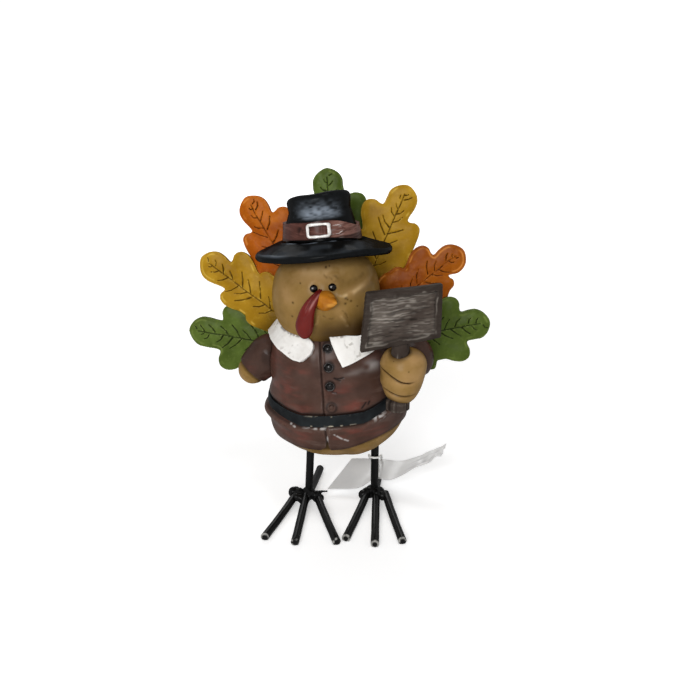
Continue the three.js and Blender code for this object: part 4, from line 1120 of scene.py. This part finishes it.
hand = cutAway(handForm("hand_right_cast", 0, 96, 60), jacketTool)
co = points(hand)
swell(hand, 0.2 * noiseAt(co, 3.5, 95))
down = (co - np.array(cuff)) @ np.array((cuff - top).normalized())
settle(hand, tanPaint, "tan_resin", "hand_right", tint=fade(down, 2, 5),
       wash=0.75 * fade(down, 1.8, 0.2) + 0.3 * patchy(co, 2.5, 96, 0.2, 0.8))
handTool = handForm("hand_tool", clear["hand"], 40, 24)
length = (cuff - top).length
profile = pillProfile(length + sleeveShape["cuffRadius"], sleeveShape["radius"], sleeveShape["cuffRadius"])
profile = [each for each in profile if each[1] < length] + [(sleeveShape["cuffRadius"], length), (0, length)]
sleeve = bent(turnedForm("sleeve_right_cast", profile, 72, 1), np.linspace(top, cuff, 20))
cutAway(sleeve, jacketTool, handTool)
path = curveThrough(sleeveShape["bend"])
profile = pillProfile(pathLength(path), *sleeveShape["bendRadius"])
arm = bent(turnedForm("sleeve_left_cast", profile, 72, 1), path)
cutAway(arm, jacketTool, fistTool, postTool)
for piece, node in ((sleeve, "sleeve_right"), (arm, "sleeve_left")):
    piece = clay(mainBody(piece), sleeveShape["grain"], 5)
    co = points(piece)
    crumple = noiseAt(co * (1, 1, 0.6), 4.5, 97)
    swell(piece, 0.32 * crumple + 0.08 * noiseAt(co, 1.6, 98))
    settle(piece, brownPaint, "brown_resin", node, wash=0.2 + 0.4 * fade(-crumple, 0.3, 0.9),
           tint=0.6 * patchy(co, 6, 99, 0, 0.7))
print("sign and arms done")


# Tail fan: seven lobed leaves in layers, with scribed veins
fanShape = {
    "radius": 61.4, "x": -1, "z": 74, "y": 18.5, "tilt": -12, "drop": 13.5, "first": 10, "pitch": 160 / 6,
    "length": 51, "wall": 3, "layer": 1.5, "stem": 2.8, "reach": 13, "fuller": 0.5, "clear": 0.12,
    "grain": 0.22,
    "outline": [(0.2, 7.2), (0.3, 9.2), (0.38, 10.6), (0.45, 11.4), (0.5, 11.3), (0.535, 10), (0.55, 8.8),
                (0.6, 9.8), (0.66, 11.6), (0.73, 12.3), (0.785, 11.2), (0.805, 8.8), (0.795, 6.6),
                (0.8, 5.4), (0.86, 5.6), (0.92, 5.4), (0.97, 3.7)],
    "veins": [(0.3, 5.5), (0.39, 6.5), (0.48, 7), (0.57, 7), (0.66, 6), (0.75, 4.6), (0.84, 3), (0.91, 2)],
}
# Name, slot, paint, place in the fan, layer, shortening, bend of the tip, and for each side the width and
# shift of its lobes and how far the foot and the notch are filled
leaves = [
    ("green_left", "green_resin", greenPaint, 0, -1.5, -1.6, 1.4, (1, 1.1), (0, 0),
     ((0, 0, 0), (15, 0.52, 12))),
    ("yellow_right", "gold_resin", goldPaint, 5, -1.2, 1, 1.8, (0.8, 0.97), (-0.085, -0.01),
     ((10.4, 0.4, 8.8), (0, 0, 0))),
    ("orange_left", "orange_resin", orangePaint, 1, -0.6, 2, 0.8, (0.97, 0.76), (0, -0.01),
     ((12.5, 0.4, 0), (11.5, 0.4, 11.8))),
    ("orange_right", "orange_resin", orangePaint, 4, -0.2, 0, -0.3, (0.84, 1), (-0.05, 0),
     ((12.4, 0.52, 11), (0, 0, 0))),
    ("green_right", "green_resin", greenPaint, 6, 0, 0.3, 1.6, (1.12, 1), (-0.06, -0.055),
     ((0, 0, 10.5), (0, 0, 0))),
    ("yellow_left", "gold_resin", goldPaint, 2, 0.4, -0.6, 0, (1.1, 0.93), (0, -0.05),
     ((0, 0, 0), (12.6, 0.52, 12.2))),
    ("green_top", "green_resin", greenPaint, 3, 1.2, 0, 0.5, (1, 1.22), (0, 0),
     ((0, 0, 0), (14, 0.4, 14))),
]


def leafBlade(name, line, wall):  # the outline is drawn with a ring of points, filled and extruded
    piece = start(name, "circle", vertices=len(line), radius=1, fill_type="NGON")
    setPoints(piece, np.stack([line[:, 0], 0 * line[:, 0] - wall / 2, line[:, 1]], 1))
    editFaces(piece)
    bpy.ops.mesh.extrude_region_move(TRANSFORM_OT_translate={"value": (0, wall, 0)})
    return merged(piece)


covers = [jacketTool, headTool, hatTool]
length = fanShape["length"]
for number, (name, slot, paint, index, layer, short, bend, lobes, shifts, feet) in enumerate(leaves):
    angle = radians(fanShape["first"] + fanShape["pitch"] * index)
    rise, aside = fanShape["drop"] * sin(angle), fanShape["drop"] * cos(angle)
    base = rise + (fanShape["radius"] ** 2 - aside ** 2) ** 0.5 - short - length
    place = (seat((fanShape["x"], fanShape["y"], fanShape["z"]), fanShape["tilt"])
             @ Matrix.Translation((0, 0, -fanShape["drop"])) @ Matrix.Rotation(pi / 2 - angle, 4, "Y")
             @ Matrix.Translation((0, layer * fanShape["layer"], base)))

    def outline(grow):
        sides = []
        for side, lobe, shift, (foot, limit, least) in zip((-1, 1), lobes, shifts, feet):
            knots = [(side * (fanShape["stem"] + grow), fanShape["reach"] - base)]
            for t, w in fanShape["outline"]:
                share = min(max((t - 0.3) / 0.25, 0), 1) if t < 0.82 else 0
                wide = w * (1 + share * (lobe - 1)) + grow
                wide = max(wide, foot * min(1, 0.6 + t) if t < limit else 0, least if 0.4 < t < 0.7 else 0)
                knots.append((side * wide + bend * t ** 2, (t + share * shift) * length))
            sides.append(knots)
        return curveThrough(sides[1] + [(bend, length + grow)] + sides[0][::-1], count=170)

    leaf = put(leafBlade(f"leaf_{name}_cast", outline(fanShape["fuller"]), fanShape["wall"]), place)
    leaf = clay(mainBody(cutAway(leaf, *covers)), fanShape["grain"], 4)
    covers.append(put(leafBlade("leaf_tool", outline(fanShape["fuller"] + fanShape["clear"]),
                                fanShape["wall"] + 2 * fanShape["clear"]), place))
    flatten = np.array(place.inverted())
    local = points(leaf) @ flatten[:3, :3].T + flatten[:3, 3]
    flat = local[:, [0, 2]]
    onFront = fade(-outward(leaf) @ flatten[1, :3], 0.2, 0.7) * (local[:, 1] < 0.4)
    rng = np.random.default_rng(100 + number)
    mid = [(bend * (z / length) ** 2 + rng.normal(0, 0.12), z) for z in np.linspace(11, 47.5, 10)]
    vein = 0.85 * stroke(flat, mid, 0.26)
    for t, reach in fanShape["veins"]:
        for side in (-1, 1):
            z = (t + rng.uniform(-0.015, 0.015) + 0.02 * side) * length
            run = reach * rng.uniform(0.75, 1.1)
            lean = radians(rng.uniform(38, 56))
            way = np.array((side * sin(lean), cos(lean)))
            root = np.array((bend * (z / length) ** 2, z)) + way * rng.choice([0, 0, 0.5, 1.2])
            tip = root + run * way
            sag = (root + tip) / 2 + rng.uniform(0.1, 0.5) * np.array((side, -0.6))
            ends = np.clip(np.linalg.norm(flat - root, axis=1) / run, 0, 1)
            broad = rng.uniform(0.2, 0.38) * (1 - 0.45 * ends)
            vein = np.maximum(vein, stroke(flat, [root, sag, tip], broad))
    rim = pathDistance(flat, outline(0))
    ragged = 0.75 + 0.4 * noiseAt(local, 1.2, 130 + number)
    pillow = 0.5 * (1 - np.exp(-rim / 1.6)) + 0.2 * noiseAt(local * (1, 0, 1), 6, 110 + number)
    swell(leaf, onFront * (pillow + 0.04 * noiseAt(local, 1.4, 120 + number) - 0.5 * vein * ragged)
          + (1 - onFront) * 0.1 * noiseAt(local, 4, 140))
    # painted shade: over all of one leaf, and on every leaf towards its root
    shaded = 0.34 if name == "orange_left" else 0  # this one is darker all over
    # pale flecks beside the veins
    paleFlecks = patchy(local, 0.8, 170 + number, 0.35, 0.6) * peak(vein, 0.3, 0.2)
    line = peak(rim, 0.7, 0.35) * patchy(local, 3, 180 + number, 0, 0.5)
    settle(leaf, paint, slot, f"leaf_{name}", rounds=10,
           wash=np.maximum(onFront * vein * patchy(local, 1.2, 150 + number, -0.7, 0),
                           0.75 * fade(-flat[:, 1], -21, -9) + shaded),
           tint=onFront * patchy(local, 8, 160 + number, -0.3, 0.5),
           wear=onFront * (0.65 * paleFlecks + (0.4 if slot == "green_resin" else 0.7) * line))
remove(*covers, postTool, boardTool, fistTool, handTool)
print("fan done")


# Legs and feet: steel wire with lumpy weld beads
footShape = {"toe": 1.35, "weld": 3.3, "beads": 14, "span": 5.6, "bead": (1.7, 2.2), "height": (2.3, 4.2),
             "knob": 2.5, "grain": 0.26,
             "right": {"seed": 170, "spread": 1, "depth": (-5, 0.4), "drip": 5},
             "left": {"seed": 171, "spread": 0.72, "depth": (-3, 1.6), "drip": 0}}
toes = {"right": [("middle", -1, -10, -37.2), ("outer", -5, -22.4, -34.2), ("inner", 3, 6.2, -35.4),
                  ("rear", 0, -7.6, 30)],
        "left": [("middle", 0.6, 21, -36), ("outer", 4.4, 31.6, -32.6), ("inner", -3, 9.4, -32.4),
                 ("rear", 0, 19, 34)]}


def bead(radius, spot, segments, rings):
    return start("bead", "uv_sphere", radius=radius, location=spot, segments=segments, ring_count=rings)


def wireForm(name, length, edge, size, seed):  # a length of wire, with uneven paint
    piece = turnedForm(name, rodProfile(length, legShape["wire"], edge), 40, 0.5)
    co = points(piece)
    swell(piece, size * noiseAt(co * (1, 1, 0.35), *seed))
    return piece, co


for side in ("right", "left"):
    ankle, hip = legShape[side]
    low, high = Vector(ankle), Vector(hip)
    leg, co = wireForm(f"leg_{side}_wire", (high - low).length, 0.3, 0.1, (2.4, 161))
    put(leg, standing(low, high))
    settle(leg, wirePaint, "black_wire", f"leg_{side}", place=upright, rounds=6)
    joint = footShape[side]
    rng = np.random.default_rng(joint["seed"])
    lumps = []
    for along in np.linspace(-1, 1, footShape["beads"]):
        across = (along * footShape["span"] - 0.8) * joint["spread"]
        spot = np.array(ankle[:2]) + (across, rng.uniform(*joint["depth"]))
        radius = float(rng.uniform(*footShape["bead"]))
        lumps.append(bead(radius, (*spot, float(rng.uniform(*footShape["height"]))), 24, 14))
    lumps.append(bead(footShape["knob"], (*ankle[:2], footShape["height"][1]), 32, 18))
    for i in range(joint["drip"]):  # a stray drip of weld
        lumps.append(bead(0.75 - 0.06 * i, (ankle[0] + 3.6 + i, ankle[1] - 1, 4.6 + 0.1 * i), 16, 10))
    pick(*lumps)
    bpy.ops.object.join()
    weld = bpy.context.active_object
    weld.name = weld.data.name = f"weld_{side}_bead"
    bpy.ops.object.transform_apply(location=True, rotation=True, scale=True)
    weld = mainBody(clay(weld, footShape["grain"], 4))
    swell(weld, 0.16 * noiseAt(points(weld), 1.1, 165))
    settle(weld, wirePaint, "black_wire", f"weld_{side}", place=upright, rounds=8)
    for name, offset, x, y in toes[side]:
        root = np.array((ankle[0] + offset, ankle[1], footShape["weld"]))
        end = np.array((x, y, footShape["toe"]))
        knee = np.array(((root[0] + x) / 2, (root[1] + y) / 2, footShape["toe"]))
        t = np.linspace(0, 1, 40)[:, None]
        path = (1 - t) ** 2 * root + 2 * t * (1 - t) * knee + t ** 2 * end
        long = pathLength(path)
        toe, co = wireForm(f"toe_{side}_{name}_wire", long, 0.35, 0.09, (2.2, 163))
        rimmed = fade(co[:, 2], long - 0.9, long - 0.35) * fade(np.hypot(co[:, 0], co[:, 1]), 0.8, 1.35)
        laid = points(bent(toe, path))
        laid[:, 2] = np.maximum(laid[:, 2], 0)  # flat where it stands
        settle(setPoints(toe, laid), wirePaint, "black_wire", f"toe_{side}_{name}", place=upright, rounds=6,
               wear=0.8 * rimmed * patchy(co, 0.9, 166, -0.4, 0.3))
print("feet done")


# Hang tag: thin film that lies over the rear toe and curls at its free end, crumpled at the tip
tagShape = {
    "wall": 0.3, "flat": (0.0185, 0.052), "columns": 110, "rows": 44,
    "near": [(-2, 7.6, 2.2), (11, 7.4, 3.4), (18.2, 9.4, 7), (25, 9.6, 7), (36, 10.4, 13), (45.6, 11.4, 18)],
    "far": [(7, 23.6, 9.4), (14, 24, 9.4), (21, 24, 9), (28, 23.6, 9), (37, 23, 12.6), (47.6, 21.6, 18.8)],
}


def tagSurface(u, v):
    near, far = [curveThrough(tagShape[name], count=121) for name in ("near", "far")]
    steps = np.linspace(0, 1, 121)
    a, b = [np.stack([np.interp(u, steps, line[:, k]) for k in range(3)], 1) for line in (near, far)]
    spot = a + (b - a) * v[:, None]
    creases = 0.9 * noiseAt(spot, 2.6, 182) + 0.5 * np.sin(5 * pi * v)
    spot[:, 2] += 0.35 + 0.25 * noiseAt(spot, 7, 181) * fade(u, 0, 0.3) + fade(u, 0.62, 1.0) * creases
    return spot


tag = sheetForm("tag_film", tagShape, tagSurface)
settle(tag, filmSheet, "film", "tag", place=upright, body="hang_tag")

# Loop: a thin moulded ring round the leg that carries the tag
loopShape = {"wire": 0.45, "radius": 2.45, "seat": (18.2, 4.4, 20.4), "points": 160,
             "back": [(-1.8, 9, -7), (0.2, 14.4, -10.4), (1, 16.6, -13.2), (1.4, 20.4, -12.6),
                      (1.8, 18.4, -9), (2.2, 9, -5.4)]}
ring = [(loopShape["radius"] * cos(a), -loopShape["radius"] * sin(a), 0) for a in np.linspace(0, pi, 5)]
path = curveThrough(np.array(ring + loopShape["back"]) + loopShape["seat"], True, loopShape["points"])
line = bpy.data.curves.new("loop_nylon", "CURVE")
line.dimensions = "3D"
line.bevel_depth = loopShape["wire"]
line.bevel_resolution = 4
spline = line.splines.new("POLY")
spline.points.add(len(path) - 1)
spline.points.foreach_set("co", np.c_[path, np.ones(len(path))].ravel())
spline.use_cyclic_u = True
loop = bpy.data.objects.new("loop_nylon", line)
scene.collection.objects.link(loop)
pick(loop)
bpy.ops.object.convert(target="MESH")
loop = bpy.context.active_object
settle(merged(loop), nylonWhite, "nylon", "tag_loop", place=upright, body="hang_tag", rounds=2)
print("tag done")


# Studio: pale floor, small soft lamps at a plain level, white where the camera looks past the object
studio = {"ambient": 0.27, "aim": (0, 0, 0.075), "glow": (0.42, 0.85), "glowFrom": (0.15, 0.9), "floor": 14,
          "lamps": [("key", (-0.12, -1.05, 0.5), 0.4, 7.6), ("top", (0.12, -0.3, 1.0), 0.3, 1.8),
                    ("back", (-0.2, 0.8, 0.7), 0.5, 3.4)]}


def directRay(tree):  # 1 for what the camera sees, also by way of a shine or through glass
    path = addNode(tree, "LightPath").outputs
    seen = path["Is Camera Ray"]
    for kind in ("Is Glossy Ray", "Is Transmission Ray"):
        seen = addNode(tree, "Math", {0: seen, 1: path[kind]}, operation="MAXIMUM").outputs[0]
    return seen


floor = start("floor", "plane", size=studio["floor"], location=(0, 0, -0.0001))
paper = bpy.data.materials.new("white_paper_sweep")
paper.use_nodes = True
tree = paper.node_tree
tree.nodes.clear()
where = addNode(tree, "NewGeometry").outputs["Position"]
spread = addNode(tree, "VectorMath", {0: where}, operation="LENGTH")
limits = dict(zip(("From Min", "From Max", "To Min", "To Max"), studio["glowFrom"] + studio["glow"]))
level = addNode(tree, "MapRange", {"Value": spread.outputs["Value"], **limits}).outputs[0]
level = addNode(tree, "Math", {0: directRay(tree), 1: level}, operation="MULTIPLY").outputs[0]
glow = addNode(tree, "Emission", {"Color": (1, 1, 1, 1), "Strength": level})
matt = addNode(tree, "BsdfDiffuse", {"Color": hexToLinear("#f0f0f0")})
both = addNode(tree, "AddShader", {0: matt.outputs[0], 1: glow.outputs[0]})
addNode(tree, "OutputMaterial", {"Surface": both.outputs[0]})
floor.data.materials.append(paper)
floor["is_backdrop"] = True

world = bpy.data.worlds.new("studio")
scene.world = world
world.use_nodes = True
tree = world.node_tree
tree.nodes.clear()
limits = {"To Min": studio["ambient"], "To Max": 1.0}
level = addNode(tree, "MapRange", {"Value": directRay(tree), **limits}).outputs[0]
sky = addNode(tree, "Background", {"Color": (1, 1, 1, 1), "Strength": level})
addNode(tree, "OutputWorld", {"Surface": sky.outputs[0]})
for name, spot, size, power in studio["lamps"]:
    pick()
    bpy.ops.object.light_add(type="AREA", location=spot)
    lamp = bpy.context.active_object
    lamp.name = f"{name}_lamp"
    lamp.data.shape = "SQUARE"
    lamp.data.size = size
    lamp.data.energy = power
    lamp.rotation_euler = (Vector(spot) - Vector(studio["aim"])).to_track_quat("Z", "Y").to_euler()
pick()
print("studio done")

low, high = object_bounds()
